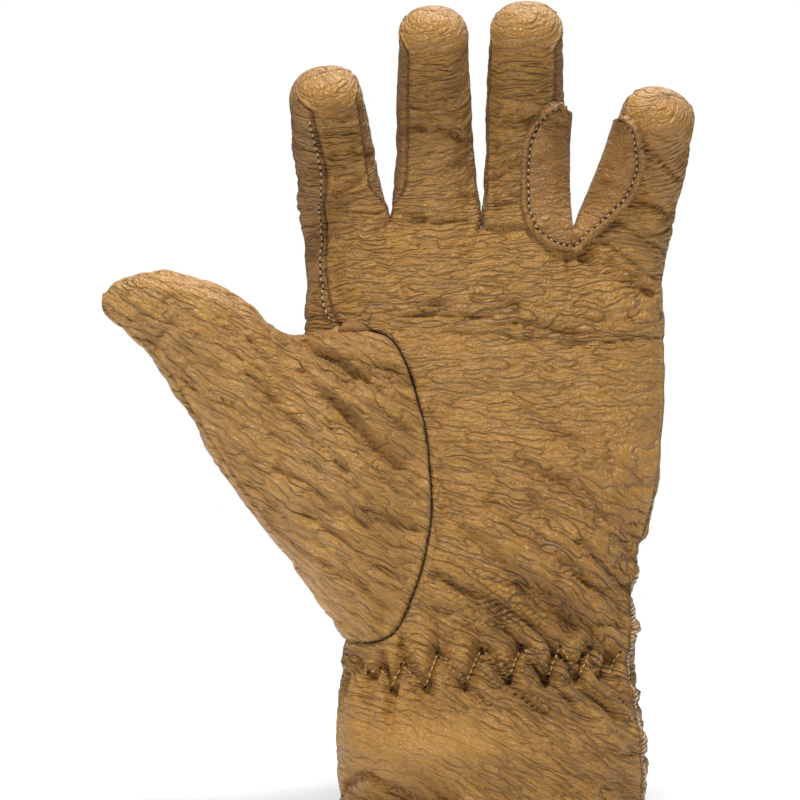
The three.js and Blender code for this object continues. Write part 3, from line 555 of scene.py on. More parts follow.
@dataclass(frozen=True)
class Body:
    """The palm and wrist: rounded ovals from the table of sections."""

    table: Array = field(default_factory=lambda: BODY)

    def section(self, z: Array) -> dict[str, Array]:
        """The middle, half width and depths of the section at a height.

        Args:
            z: heights.

        Returns:
            The four sizes, by name.
        """
        left, right, front, back = (cubic(self.table[:, 0], self.table[:, i], z) for i in range(1, 5))
        return {"middle": (left + right) / 2, "half": (right - left) / 2, "front": front, "back": back}

    def angle(self, x: Array, z: Array, face: Array) -> Array:
        """The angle at which a section passes through x: 0 on the right, 90 at the palm, 270 at the back.

        Args:
            x: places across.
            z: heights.
            face: 1 on the palm's side, -1 behind, 0 at the edge.

        Returns:
            The angles in degrees.
        """
        part = self.section(z)
        across = np.clip((x - part["middle"]) / part["half"], -1, 1)
        angle = np.degrees(np.arccos(np.sign(across) * np.abs(across) ** (SECTION_POWER / 2)))
        return np.where(face == 0, 180.0, np.where(face > 0, angle, 360 - angle))

    def place(self, angle: Array, z: Array) -> Array:
        """Points at angles and heights: the section's oval, deeper on the palm's or the back's side.

        Args:
            angle: angles in degrees.
            z: heights.

        Returns:
            The points.
        """
        part = self.section(z)
        cosine, sine = np.cos(np.radians(angle)), np.sin(np.radians(angle))
        depth = np.where(sine > 0, part["front"], part["back"])
        return np.stack([part["middle"] + part["half"] * bulge(cosine), -depth * bulge(sine), z], axis=-1)


HAND = Body()


def relief(points: Array) -> Array:
    """The same points with the palm's side raised by its swellings and lowered in its main folds.

    Args:
        points: points of the hand.

    Returns:
        The moved points.
    """
    x, y, z = points[..., 0], points[..., 1], points[..., 2]
    height = np.zeros(x.shape)
    for middle_x, middle_z, radius_x, radius_z, rise in MOUNDS:
        height += rise * np.exp(-(((x - middle_x) / radius_x) ** 2 + ((z - middle_z) / radius_z) ** 2))
    height -= near_lines(x, z, FOLDS)
    moved = points.copy()
    moved[..., 1] -= height * smooth((3 - y) / 6)
    return moved


# Sheets of leather


@dataclass
class Grid:
    """Points over rows and columns, the grain's place there, the nearest seam's distance, and how quiet it is."""

    points: Array
    flow: Array
    seam: Array
    quiet: Array | float = 0.0


def arc_lengths(points: Array) -> Array:
    """The length along each row from its start to each of its points."""
    steps = np.linalg.norm(np.diff(points, axis=1), axis=2)
    return np.concatenate([np.zeros((len(points), 1)), np.cumsum(steps, axis=1)], axis=1)


def run_lengths(line: Array) -> Array:
    """The length along a line from its start to each of its points."""
    return arc_lengths(line[None])[0]


def read_along(line: Array, place: Array, values: Array) -> Array:
    """Values at lengths along a line, read between those of its points."""
    run = run_lengths(line)
    return np.stack([np.interp(place, run, values[:, axis]) for axis in range(3)], axis=-1)


def grain_flow(points: Array) -> Array:
    """Where the grain lies on the body: x and y stay, and the third place runs across the wrinkles of the palm.

    Its level lines are the wrinkles: level in the upper palm, and sloping down to the right more and more towards
    the wrist, as they fan out from the top of the thumb seam.

    Args:
        points: points of the body.

    Returns:
        The grain's three places at each.
    """
    x, y, z = points[..., 0], points[..., 1], points[..., 2]
    slope = 0.85 * smooth((92 - z) / 95) - 0.10 * smooth((z - 95) / 12)
    across = z + slope * (x + 20) * np.where(x > -20, 0.62, 0.25)
    return np.stack([x, y, across], axis=-1)


@dataclass
class Sheet:
    """One piece of leather, welded from grids, with its normals and the marks that its finish reads."""

    points: Array
    faces: Array
    flow: Array
    seam: Array
    ids: list[Array]
    quiet: Array

    @classmethod
    def of(cls, grids: list[Grid], flipped: bool) -> "Sheet":
        """Joins grids: points that lie together become one, and faces without area are dropped.

        Args:
            grids: the grids.
            flipped: turns the faces round, so that they look outwards.

        Returns:
            The sheet.
        """
        points = np.concatenate([grid.points.reshape(-1, 3) for grid in grids])
        flow = np.concatenate([grid.flow.reshape(-1, 3) for grid in grids])
        seam = np.concatenate([grid.seam.reshape(-1) for grid in grids])
        quiet = np.concatenate([np.broadcast_to(grid.quiet, grid.seam.shape).reshape(-1) for grid in grids])
        keys = np.round(points * 200).astype(np.int64)
        _, first, number = np.unique(keys, axis=0, return_index=True, return_inverse=True)
        number = number.reshape(-1)
        ids, faces, start = [], [], 0
        for grid in grids:
            count = grid.seam.size
            own = number[start:start + count].reshape(grid.seam.shape)
            start += count
            a, b, c, d = own[:-1, :-1], own[:-1, 1:], own[1:, 1:], own[1:, :-1]
            faces += [np.stack([a, b, c], axis=-1).reshape(-1, 3), np.stack([a, c, d], axis=-1).reshape(-1, 3)]
            ids.append(own)
        joined = np.concatenate(faces)
        whole = (joined[:, 0] != joined[:, 1]) & (joined[:, 1] != joined[:, 2]) & (joined[:, 2] != joined[:, 0])
        joined = joined[whole]
        if flipped:
            joined = joined[:, ::-1]
        return cls(points[first], joined, flow[first], seam[first], ids, quiet[first])

    def normals(self) -> Array:
        """The mean of the faces' normals at each point, larger faces counting more.

        Returns:
            One unit vector for each point.
        """
        a, b, c = (self.points[self.faces[:, i]] for i in range(3))
        facing = np.cross(b - a, c - a)
        total = np.zeros_like(self.points)
        for corner in range(3):
            np.add.at(total, self.faces[:, corner], facing)
        return unit(total)

    def rim(self) -> Array:
        """The edges that only one face has, as rows of start and end.

        Returns:
            One row of two point numbers for each edge.
        """
        edges = np.concatenate([self.faces[:, [0, 1]], self.faces[:, [1, 2]], self.faces[:, [2, 0]]])
        count = len(self.points)
        own = edges[:, 0] * count + edges[:, 1]
        return edges[~np.isin(own, edges[:, 1] * count + edges[:, 0])]

    def raised(self, height: Array) -> "Sheet":
        """The same sheet moved along its normals."""
        moved = self.points + self.normals() * height[:, None]
        return Sheet(moved, self.faces, self.flow, self.seam, self.ids, self.quiet)

    def solid(self, name: str, outside: Array, inside: Array | float, marks: dict[str, Array]) -> Piece:
        """A closed object: the sheet at two distances along its normals and a rim between them.

        Args:
            name: the piece's name.
            outside: how far out the outer face lies.
            inside: how far out the inner face lies, less than outside.
            marks: one array of values for each named mark that the finish reads.

        Returns:
            The object, in metres.
        """
        normals = self.normals()
        count = len(self.points)
        outer = self.points + normals * np.broadcast_to(outside, count)[:, None]
        inner = self.points + normals * np.broadcast_to(inside, count)[:, None]
        rim = self.rim()
        start, end = rim[:, 0], rim[:, 1]
        faces = np.concatenate([
            self.faces, self.faces[:, ::-1] + count,
            np.stack([end, start, start + count], axis=-1), np.stack([end, start + count, end + count], axis=-1),
        ])
        doubled = {key: np.concatenate([value, value]) for key, value in {"flow": self.flow, **marks}.items()}
        doubled["inside"] = np.concatenate([np.zeros(count), np.ones(count)])
        return made(name, np.concatenate([outer, inner]), faces, doubled)


def made(name: str, points: Array, faces: Array, marks: dict[str, Array]) -> Piece:
    """An object from points in millimetres and faces of three corners, smooth, with marks on its points.

    Args:
        name: the object's name.
        points: its points.
        faces: three point numbers for each face.
        marks: values or vectors for each named mark.

    Returns:
        The object, linked to the scene.
    """
    mesh = bpy.data.meshes.new(name)
    mesh.vertices.add(len(points))
    mesh.vertices.foreach_set("co", (points * MM).astype(np.float32).ravel())
    mesh.loops.add(faces.size)
    mesh.loops.foreach_set("vertex_index", faces.astype(np.int32).ravel())
    mesh.polygons.add(len(faces))
    mesh.polygons.foreach_set("loop_start", np.arange(0, faces.size, 3, dtype=np.int32))
    mesh.update(calc_edges=True)
    mesh.polygons.foreach_set("use_smooth", np.ones(len(faces), dtype=bool))
    for key, value in marks.items():
        kind = "FLOAT_VECTOR" if value.ndim == 2 else "FLOAT"
        mark = mesh.attributes.new(key, kind, "POINT")
        mark.data.foreach_set("vector" if value.ndim == 2 else "value", value.astype(np.float32).ravel())
    mesh.validate()
    piece = bpy.data.objects.new(name, mesh)
    bpy.context.scene.collection.objects.link(piece)
    return piece


@dataclass(frozen=True)
class Wrinkles:
    """The folds and gathers that are raised in a sheet's own surface, from broad to fine.

    groove and welt are the depth of a seam and the height of the leather beside it, petal the height of a gather,
    and drawn, bed and waist how far the wrist's thread draws the leather in: sharply, softly and all along its line.
    """

    groove: float = 0.36
    welt: float = 0.36
    petal: float = 7.2
    drawn: float = 1.0
    bed: float = 2.2
    waist: float = 1.6
    seed: int = 11

    def gathers(self, points: Array) -> Array:
        """The gathers at the wrist: below the zigzag a petal hangs from each upper turn, above it one from each lower.

        A phase counts the turns: whole at an upper turn, a half more at a lower. A petal is the size of the phase's
        half cosine, so that sharp valleys lie between round ridges. The lines lean to the right going down, more so
        on the little finger's side, and fade out.

        Args:
            points: points of the sheet.

        Returns:
            One height for each point.
        """
        x, y, z = points[..., 0], points[..., 1], points[..., 2]
        turns = np.concatenate([[-60.0], ZIGZAG[:, 0], [36.5, 41.0, 60.0]])
        phase = np.concatenate([[-6.0], -2.5 + 0.5 * np.arange(len(ZIGZAG)), [5.0, 5.5, 8.0]])
        line = np.interp(x, ZIGZAG[:, 0], ZIGZAG[:, 1])
        lean = mix(-0.05, 0.80, smooth((x + 32) / 60)) * smooth(np.abs(z - 2) / 10)
        shifted = x + lean * (z - 2.0)
        wander = noise(np.stack([x / 8, y / 8, z / 12], axis=-1), 5) * 0.14
        turned = np.interp(shifted, turns, phase) + wander * smooth(np.abs(z - line) / 8)
        turned = np.where(y > 2, x / 11.0 + wander, turned)
        hanging = (np.cos(np.pi * turned) ** 2 + 0.03) ** 0.35 - 0.66
        standing = (np.sin(np.pi * turned) ** 2 + 0.03) ** 0.35 - 0.66
        uneven = 1 + 0.4 * noise(np.stack([np.floor(turned) * 3.1, 0 * x, z / 30], axis=-1), 8)
        below = np.exp(-np.clip(line - z, 0, None) / 11) * smooth((z + 26) / 16) * uneven
        above = np.exp(-np.clip(z - line, 0, None) / mix(9, 15, smooth((x + 5) / 25))) * smooth((34 - z) / 24) * uneven
        blend = smooth((z - line + 2.0) / 4)
        front = np.where(y > 2, 0.6, 1.0)
        return mix(self.petal * hanging * below, 0.8 * self.petal * standing * above, blend) * front

    def stitched_in(self, points: Array) -> Array:
        """How far the zigzag's thread draws the leather in, by the distance from its line.

        Args:
            points: points of the sheet.

        Returns:
            One depth for each point.
        """
        x, y, z = points[..., 0], points[..., 1], points[..., 2]
        depth = np.zeros(x.shape)
        for deep, width in ((self.drawn, 1.3), (self.bed, 2.4)):
            shape = np.tile([1.0, width], (len(THREAD_TURNS) - 1, 1))
            legs = np.concatenate([THREAD_TURNS[:-1], THREAD_TURNS[1:], shape], axis=1)
            depth += deep * near_lines(x, z, legs, False)
        line = np.interp(x, THREAD_TURNS[:, 0], THREAD_TURNS[:, 1])
        depth += self.waist * np.exp(-(((z - line - 1.0) / 6.0) ** 2))
        return depth * smooth((2 - y) / 5)

    def height(self, sheet: Sheet, strength: Array) -> Array:
        """How far each point stands out: seam grooves with a welt beside them, creases, wrinkles and gathers.

        Args:
            sheet: the sheet before it is raised.
            strength: how wrinkled the leather is there, from 0 to 1.

        Returns:
            One height for each point.
        """
        points, flow = sheet.points, sheet.flow
        x, z = points[:, 0], points[:, 2]
        near = np.exp(-((sheet.seam / SEAM_REACH) ** 2))
        height = -self.groove * near + self.welt * np.exp(-(((sheet.seam - 1.7) / 0.9) ** 2))
        wander = np.stack([noise(points / 7.0, seed) for seed in (1, 2, 3)], axis=-1)
        front = smooth((2 - points[:, 1]) / 5)
        bent_x, bent_z = x + wander[:, 0] * 1.3, z + wander[:, 1] * 1.3
        beside = CREASES * np.array([1, 1, 1, 1, 0.45, 2.4])
        folded = 1.5 * near_lines(bent_x, bent_z, CREASES, False) - near_lines(bent_x, bent_z, beside, False)
        height -= folded * front * (1 - near)
        clear = 1 - 0.7 * np.exp(-((sheet.seam / 1.6) ** 2))
        warped = flow + wander * np.array([2.6, 2.6, 1.6])
        cells = cracks(warped / np.array([12.0, 12.0, 4.0]), self.seed)
        height -= 0.5 * strength * clear * np.exp(-((cells / 0.28) ** 2))
        for size, across, depth, seed in VALLEYS:
            wave = noise(warped / np.array([size, size, across]), seed)
            height -= depth * strength**2.5 * clear * np.exp(-((wave / 0.14) ** 2))
        height += 0.8 * noise(flow / np.array([16, 16, 6.0]), 21) * clear * strength
        gathered = self.gathers(points) - self.stitched_in(points)
        return height + gathered * (1 - 0.85 * np.exp(-((sheet.seam / 3.0) ** 2)))


@dataclass(frozen=True)
class Trank:
    """The large panel of one face of the glove: palm or back, with the faces of the fingers on it."""

    face: Face
    edge: tuple[tuple[float, float, float, int], ...]
    drop: float
    scallop: float
    columns: int
    levels: int
    finger_rows: int
    closest: float = 0.12

    @property
    def side(self) -> int:
        """1 for the palm and -1 for the back."""
        return self.face.value

    def row_ends(self, level: Array) -> dict[str, Array]:
        """Angles round the body and heights at the thumb's side and at the outer seam, for rows at levels.

        Args:
            level: levels of the rows.

        Returns:
            The angles and heights, and the evened angle that inner columns start from.
        """
        table = np.array(self.edge, float)
        angles = HAND.angle(table[:, 0], table[:, 1], table[:, 3])
        inset = inset_angle(HAND.section(level)["half"])
        turn = 0 if self.side > 0 else 360
        spread = np.linspace(-16, 16, 33)
        start = steady(table[:, 2], angles, level)
        calm = np.mean([steady(table[:, 2], angles, level + shift) for shift in spread], axis=0)
        calm = mix(calm, start, smooth((level - HOLE_TOP) / 12))
        return {
            "start": start - self.side * inset,
            "calm": calm - self.side * inset,
            "start_z": steady(table[:, 2], table[:, 1], level),
            "end": turn + cubic(OUTER_SEAM[:, 0], OUTER_SEAM[:, 1], level) + self.side * inset,
            "end_z": np.asarray(level, float),
        }

    def edge_line(self, level: Array) -> Array:
        """The points of the panel's edge at the thumb's side, at levels."""
        ends = self.row_ends(level)
        return HAND.place(ends["start"], ends["start_z"])

    def strip_shares(self, level: Array) -> Array:
        """Shares of a row at which the fingers' strips begin and end: even at the cuff, at the crotches on top.

        Args:
            level: levels of the rows.

        Returns:
            Five shares for each row.
        """
        top = self.row_ends(np.array([TOP_LEVEL]))
        angle = HAND.angle(WEBS[:, 0], WEBS[:, 1] - self.drop, np.full(3, self.side))
        crotches = (angle - top["start"]) / (top["end"] - top["start"])
        wanted = np.concatenate([[0], crotches, [1]])
        share = smooth((level - 20) / (TOP_LEVEL - 20))
        return mix(np.linspace(0, 1, 5)[None], wanted[None], share[:, None])

    def strip(self, number: int, across: Array, level: Array) -> Array:
        """Points of the strip below one finger: levels x shares across it, with the crotches scalloped.

        Args:
            number: which finger's strip.
            across: shares across it.
            level: levels of the rows.

        Returns:
            Levels x shares x 3.
        """
        ends, shares = self.row_ends(level), self.strip_shares(level)
        share = mix(shares[:, number, None], shares[:, number + 1, None], across[None])
        near_top = smooth((level - FINGER_BASE_LEVEL) / (TOP_LEVEL - FINGER_BASE_LEVEL))[:, None]
        z = mix(ends["start_z"][:, None], ends["end_z"][:, None], share) + self.rise(number, across)[None] * near_top
        angle = mix(ends["calm"][:, None], ends["end"][:, None], share)
        angle = angle + (ends["start"] - ends["calm"])[:, None] * (1 - share) ** 5
        points = HAND.place(angle, z)
        arch = np.clip(np.sin(np.pi * across), 0, None) ** 0.8
        points[..., 1] -= self.side * self.scallop * near_top**2 * arch[None]
        return points

    def rise(self, number: int, across: Array) -> Array:
        """How much the top of a strip rises over a straight row, so that it meets the crotches.

        Args:
            number: which finger's strip.
            across: shares across it.

        Returns:
            One rise for each share.
        """
        top = self.row_ends(np.array([TOP_LEVEL]))
        shares = self.strip_shares(np.array([TOP_LEVEL]))[0]
        heights = np.concatenate([top["start_z"], WEBS[:, 1] - self.drop, top["end_z"]])
        straight = mix(top["start_z"], top["end_z"], mix(shares[number], shares[number + 1], across))
        return mix(heights[number], heights[number + 1], across) - straight

    def grids(self) -> list[Grid]:
        """The body of the panel as one grid, then one grid for each finger.

        Returns:
            Five grids.
        """
        across = np.linspace(0, 1, self.columns + 1)
        even = np.linspace(BOTTOM_LEVEL, TOP_LEVEL, self.levels + 1)
        level = np.sort(np.concatenate([even, *(np.linspace(*rows) for rows in CORNER_ROWS)]))
        level = level[np.concatenate([[True], np.diff(level) > self.closest])]
        strips = [self.strip(number, across, level) for number in range(4)]
        body = np.concatenate([strips[0]] + [strip[:, 1:] for strip in strips[1:]], axis=1)
        webs = body[-1, [self.columns, 2 * self.columns, 3 * self.columns]]
        length = arc_lengths(body)
        hole = self.edge_line(np.linspace(HOLE_BOTTOM, HOLE_TOP, 160))
        to_hole = np.stack([np.linalg.norm(row[:, None] - hole[None], axis=2).min(axis=1) for row in body])
        beside = ((level > HOLE_BOTTOM) & (level < HOLE_TOP))[:, None]
        seam = np.minimum(np.minimum(np.where(beside, np.inf, length), to_hole), length[:, -1:] - length)
        to_webs = np.linalg.norm(body[:, :, None] - webs[None, None], axis=3).min(axis=2)
        grids = [Grid(relief(body), grain_flow(body), np.minimum(seam, to_webs))]
        for number, finger in enumerate(FINGERS):
            grids.append(self.finger_grid(finger, strips[number][-1]))
        return grids

    def finger_grid(self, finger: Finger, base: Array) -> Grid:
        """The panel's part of one finger, from the top row of the body to the tip.

        Args:
            finger: the finger.
            base: the body's top row below it.

        Returns:
            The grid.
        """
        distance = finger.rows(self.finger_rows, DOME_ROWS)
        inset = inset_angle(finger.size(distance)["width"])
        palm = self.side > 0
        start = finger.seam(finger.left_front if palm else finger.left_back, distance) - self.side * inset
        end = finger.seam(finger.right_front if palm else finger.right_back, distance) + self.side * inset
        across = np.linspace(0, 1, self.columns + 1)
        angle = mix(start[:, None], (end if palm else end + 360)[:, None], across[None])
        own = finger.settled(base, finger.place(angle, distance, self.side), distance)
        points = np.concatenate([base[None], own])
        along = np.concatenate([[0.0], distance])
        length = arc_lengths(points)
        seam = np.minimum(length, length[:, -1:] - length)
        seam = seam + 6 * smooth((along / finger.length - 0.92) / 0.05)[:, None]
        local = np.stack([
            finger.base[0] + (points - finger.base) @ finger.line(np.zeros(1))["across"][0],
            points[..., 1], base[None, :, 2] + along[:, None] + 0 * points[..., 0],
        ], axis=-1)
        settle = smooth(along / BLEND_LENGTH)[:, None, None]
        flow = mix(grain_flow(base)[None] + along[:, None, None] * np.array([0, 0, 1.0]), local, settle)
        quiet = smooth((along / finger.length - 0.70) / 0.28)[:, None]
        return Grid(relief(points), flow, seam, quiet)


PALM = Trank(Face.PALM, (*CUFF_EDGE, *THUMB_SEAM_FRONT, *INDEX_SEAM), 0.0, 4.2, 40, 158, 84)
BACK = Trank(Face.BACK, (*CUFF_EDGE, *THUMB_SEAM_BACK, CROTCH, *INDEX_SEAM), BACK_WEB_DROP, 3.6, 34, 130, 64)


@dataclass(frozen=True)
class Pile:
    """The side of a finger pair: down one finger, through the crotch and up the next."""

    number: int
    columns: int = 18
    rows: int = 60
    margin: float = 1.3
    quiet: float = 0.6

    def grid(self) -> Grid:
        """Rows from the end on the first finger to the end on the second; columns from the palm to the back.

        Returns:
            The grid.
        """
        front_web = PALM.strip(self.number, np.array([1.0]), np.array([TOP_LEVEL]))[0, 0]
        back_web = BACK.strip(self.number, np.array([1.0]), np.array([TOP_LEVEL]))[0, 0]
        span = float(np.linalg.norm(front_web - back_web))
        first, second = FINGERS[self.number], FINGERS[self.number + 1]
        down = self.half(first, first.right_front, first.right_back, -1, front_web, back_web, span)
        up = self.half(second, second.left_front, second.left_back, 1, front_web, back_web, span)
        points = np.concatenate([down[::-1], up[1:]])
        length = arc_lengths(points)
        seam = np.minimum(length, length[:, -1:] - length)
        run = run_lengths(points[:, self.columns // 2])
        flow = np.stack([length, points[..., 1], 40.0 * self.number + run[:, None] + 0 * length], axis=-1)
        return Grid(relief(points), flow, seam, self.quiet)

    def half(self, finger: Finger, front: tuple, back: tuple, turn: int,
             front_web: Array, back_web: Array, span: float) -> Array:
        """Rows up one finger from the crotch, between its two seams.

        Args:
            finger: the finger.
            front: angles of the seam on the palm's side.
            back: angles of the seam behind.
            turn: 1 where angles grow from seam to seam, else -1.
            front_web: the crotch on the palm's side.
            back_web: the crotch behind.
            span: how far apart they are.

        Returns:
            Rows x columns x 3.
        """
        whole = np.concatenate([[0.0], finger.rows(self.rows, DOME_ROWS)])
        distance = whole[whole <= finger.length * FOURCHETTE_END]
        inset = inset_angle(finger.size(distance)["width"])
        start = finger.seam(front, distance) + turn * inset
        end = finger.seam(back, distance) - turn * inset
        margin = self.margin * (1 - smooth(distance / BLEND_LENGTH)) / span
        share = mix(margin[:, None], 1 - margin[:, None], np.linspace(0, 1, self.columns + 1)[None])
        base = front_web + (back_web - front_web) * share[..., None]
        return finger.settled(base, finger.place(mix(start[:, None], end[:, None], share), distance), distance)


@dataclass(frozen=True)
class Thumb:
    """The thumb and its ball: one tube from the edge of its hole in the trank out to the tip."""

    columns: int = 230
    rows: int = 180
    ball_front: float = 7.0
    ball_back: float = 3.5
    edge_seam: float = 143.0

    def hole(self, turn: Array) -> Array:
        """The edge of the hole, by its length: down the palm's seam for turns to 180, and back up the other side.

        Args:
            turn: angles from 0 to 360.

        Returns:
            One point for each angle.
        """
        over = BACK.edge_line(np.linspace(HOLE_CROTCH, HOLE_TOP, 20))
        front = np.concatenate([over, PALM.edge_line(np.linspace(HOLE_TOP, HOLE_BOTTOM, 400))[1:]])
        back = BACK.edge_line(np.linspace(HOLE_BOTTOM, HOLE_CROTCH, 400))
        first = self.evenly(front, np.clip(turn / 180, 0, 1))
        second = self.evenly(back, np.clip((turn - 180) / 180, 0, 1))
        return np.where((turn <= 180)[:, None], first, second)

    @staticmethod
    def evenly(line: Array, share: Array) -> Array:
        """Points at shares of a line's length."""
        return read_along(line, share * run_lengths(line)[-1], line)

    def grid(self) -> Grid:
        """Lines of points from the hole through the ball and the sections to the tip, one for each turn.

        Returns:
            The grid.
        """
        turn = np.linspace(0, 360, self.columns + 1)
        cosine, sine = bulge(np.cos(np.radians(turn))), bulge(np.sin(np.radians(turn)))
        upper_x, upper_z, lower_x, lower_z, middle, depth = THUMB_SECTIONS.T
        share = (1 + cosine[:, None]) / 2
        sections = np.stack([
            mix(lower_x, upper_x, share), middle - depth * sine[:, None], mix(lower_z, upper_z, share),
        ], axis=-1)
        base = self.hole(turn)
        ball = mix(base, sections[:, 0], 0.5)
        swell = np.sin(np.radians(turn))
        ball[:, 1] -= swell * np.where(swell > 0, self.ball_front, self.ball_back)
        lines = np.concatenate([base[:, None], ball[:, None], sections], axis=1)
        points = spline(lines, np.linspace(0, 1, self.rows + 1)).transpose(1, 0, 2)
        points[:, -1] = points[:, 0]
        to_hole = arc_lengths(points.transpose(1, 0, 2)).T
        length = arc_lengths(points)
        girth = np.maximum(length[:, -1:], 1e-6)
        row = np.arange(self.rows + 1)[:, None]
        to_edge = np.abs(turn[None] - self.edge_seam) / 360 * girth + 40 * smooth((self.rows * 0.12 - row) / 12)
        seam = np.minimum(to_hole, to_edge)
        moved = relief(points)
        slant = moved[..., 2] + 0.55 * moved[..., 0]
        quiet = smooth((row / self.rows - 0.84) / 0.12)
        return Grid(moved, np.stack([moved[..., 0], moved[..., 1], slant], axis=-1), seam, quiet)


@dataclass
class DepthMap:
    """The palm's side as a raster: the depth that a line of sight along +Y first meets at each (x, z)."""

    FILLS: ClassVar[int] = 14
    SOFTENINGS: ClassVar[int] = 2
    low: Array
    depth: Array
    cell: float

    @classmethod
    def of(cls, clouds: list[Array], cell: float = 0.8) -> "DepthMap":
        """Keeps the least y of the points in each cell, then spreads it into the cells that have none.

        Args:
            clouds: points of the pieces.
            cell: the size of a cell in millimetres.

        Returns:
            The raster.
        """
        points = np.concatenate(clouds)
        points = points[points[:, 1] < 4]
        low = points[:, [0, 2]].min(0) - 4 * cell
        place = np.floor((points[:, [0, 2]] - low) / cell).astype(int)
        size = place.max(0) + 6
        depth = np.full(size, np.inf)
        np.minimum.at(depth, (place[:, 0], place[:, 1]), points[:, 1])
        for _ in range(cls.FILLS):
            known = np.isfinite(depth)
            filled = np.where(known, depth, 0.0)
            total, weight = cls.around(filled), cls.around(known.astype(float))
            depth = np.where(known, depth, np.where(weight > 0, total / np.maximum(weight, 1e-9), np.inf))
        depth = np.where(np.isfinite(depth), depth, 0.0)
        for _ in range(cls.SOFTENINGS):
            depth = (depth * 2 + cls.around(depth) / 8 * 2) / 4
        return cls(low, depth, cell)

    @staticmethod
    def around(values: Array) -> Array:
        """The sum of the eight neighbours of each cell.

        Args:
            values: one value for each cell.

        Returns:
            The sums.
        """
        wide = np.pad(values, 1, mode="edge")
        rows, columns = values.shape
        total = sum(wide[i:i + rows, j:j + columns] for i in range(3) for j in range(3))
        return total - values

    def read(self, x: Array, z: Array) -> Array:
        """The depth at places of the palm's plane, mixed from the four cells round each.

        Args:
            x: places across.
            z: heights.

        Returns:
            The depths.
        """
        at_x = (x - self.low[0]) / self.cell - 0.5
        at_z = (z - self.low[1]) / self.cell - 0.5
        i = np.clip(np.floor(at_x).astype(int), 0, self.depth.shape[0] - 2)
        j = np.clip(np.floor(at_z).astype(int), 0, self.depth.shape[1] - 2)
        u, v = np.clip(at_x - i, 0, 1), np.clip(at_z - j, 0, 1)
        lower = mix(self.depth[i, j], self.depth[i + 1, j], u)
        upper = mix(self.depth[i, j + 1], self.depth[i + 1, j + 1], u)
        return mix(lower, upper, v)

    def drape(self, x: Array, z: Array) -> Array:
        """Points on the palm's side at places of its plane."""
        return np.stack([x, self.read(x, z), z], axis=-1)

    def facing(self, x: Array, z: Array) -> Array:
        """The outward normal there, from the slopes of the depth over a cell and a half.

        Args:
            x: places across.
            z: heights.

        Returns:
            Unit vectors.
        """
        step = 1.5 * self.cell
        slope_x = (self.read(x + step, z) - self.read(x - step, z)) / (2 * step)
        slope_z = (self.read(x, z + step) - self.read(x, z - step)) / (2 * step)
        return unit(np.stack([slope_x, -np.ones_like(slope_x), slope_z], axis=-1))


# Finishes


COLOUR, NUMBER, VECTOR = "NodeSocketColor", "NodeSocketFloat", "NodeSocketVector"


class Wiring:
    """Short calls for the nodes and links of one shader tree."""

    def __init__(self, tree: bpy.types.NodeTree) -> None:
        """Works on a tree."""
        self.tree = tree

    def fill(self, node: bpy.types.Node, inputs: dict[int | str, object]) -> None:
        """Links sockets to a node's inputs, or sets them to plain values.

        Args:
            node: the node.
            inputs: a socket or a value for each input, by its number or name.
        """
        for key, value in inputs.items():
            if isinstance(value, Socket):
                self.tree.links.new(value, node.inputs[key])
            else:
                node.inputs[key].default_value = value

    def node(self, kind: str, inputs: dict[int | str, object], **settings: object) -> bpy.types.Node:
        """Adds a node.

        Args:
            kind: what node it is.
            inputs: a socket or a value for each input, by its number or name.
            settings: its other settings.

        Returns:
            The node.
        """
        node = self.tree.nodes.new(kind)
        for key, value in settings.items():
            setattr(node, key, value)
        self.fill(node, inputs)
        return node

    def numbers(self, operation: str, a: object, b: object = 0.0, clamp: bool = False) -> Socket:
        """The result of one step of arithmetic on numbers."""
        return self.node("ShaderNodeMath", {0: a, 1: b}, operation=operation, use_clamp=clamp).outputs[0]

    def vectors(self, operation: str, a: object, b: object) -> Socket:
        """The result of one step of arithmetic on vectors."""
        return self.node("ShaderNodeVectorMath", {0: a, 1: b}, operation=operation).outputs[0]

    def weighted(self, *terms: tuple[object, object]) -> Socket:
        """The sum of pairs of a value and its weight, each multiplied."""
        products = [self.numbers("MULTIPLY", *term) for term in terms]
        return reduce(lambda total, product: self.numbers("ADD", total, product), products)

    def noise(self, vector: Socket, scale: float, detail: float) -> bpy.types.Node:
        """Smooth noise over a vector."""
        return self.node("ShaderNodeTexNoise", {"Vector": vector, "Scale": scale, "Detail": detail})

    def cells(self, vector: Socket, scale: float) -> Socket:
        """The distance to the nearest border between cells over a vector."""
        texture = self.node("ShaderNodeTexVoronoi", {"Vector": vector, "Scale": scale}, feature="DISTANCE_TO_EDGE")
        return texture.outputs["Distance"]

    def pillow(self, distance: Socket, wide: float) -> Socket:
        """A rounded rise from 0 at a border to 1 at a distance: x (2 - x)."""
        share = self.numbers("DIVIDE", distance, wide, True)
        return self.numbers("MULTIPLY", share, self.numbers("SUBTRACT", 2.0, share))

    def line(self, distance: Socket, wide: float) -> Socket:
        """1 on a border, falling smoothly to 0 at a distance."""
        limits = {"Value": distance, "From Max": wide, "To Min": 1.0, "To Max": 0.0}
        return self.node("ShaderNodeMapRange", limits, interpolation_type="SMOOTHSTEP").outputs[0]

    def patches(self, vector: Socket, look: tuple[float, ...]) -> Socket:
        """Noise over a vector, spread out between two of its values.

        Args:
            vector: the vector.
            look: the noise's scale and detail, and the values that become 0 and 1.

        Returns:
            The result's socket.
        """
        texture = self.noise(vector, *look[:2]).outputs[0]
        return self.node("ShaderNodeMapRange", {"Value": texture, "From Min": look[2], "From Max": look[3]}).outputs[0]

    def blend(self, share: object, a: object, b: object) -> Socket:
        """The colour that lies at a share of the way from a to b."""
        return self.node("ShaderNodeMix", {0: share, 6: a, 7: b}, data_type="RGBA").outputs[2]


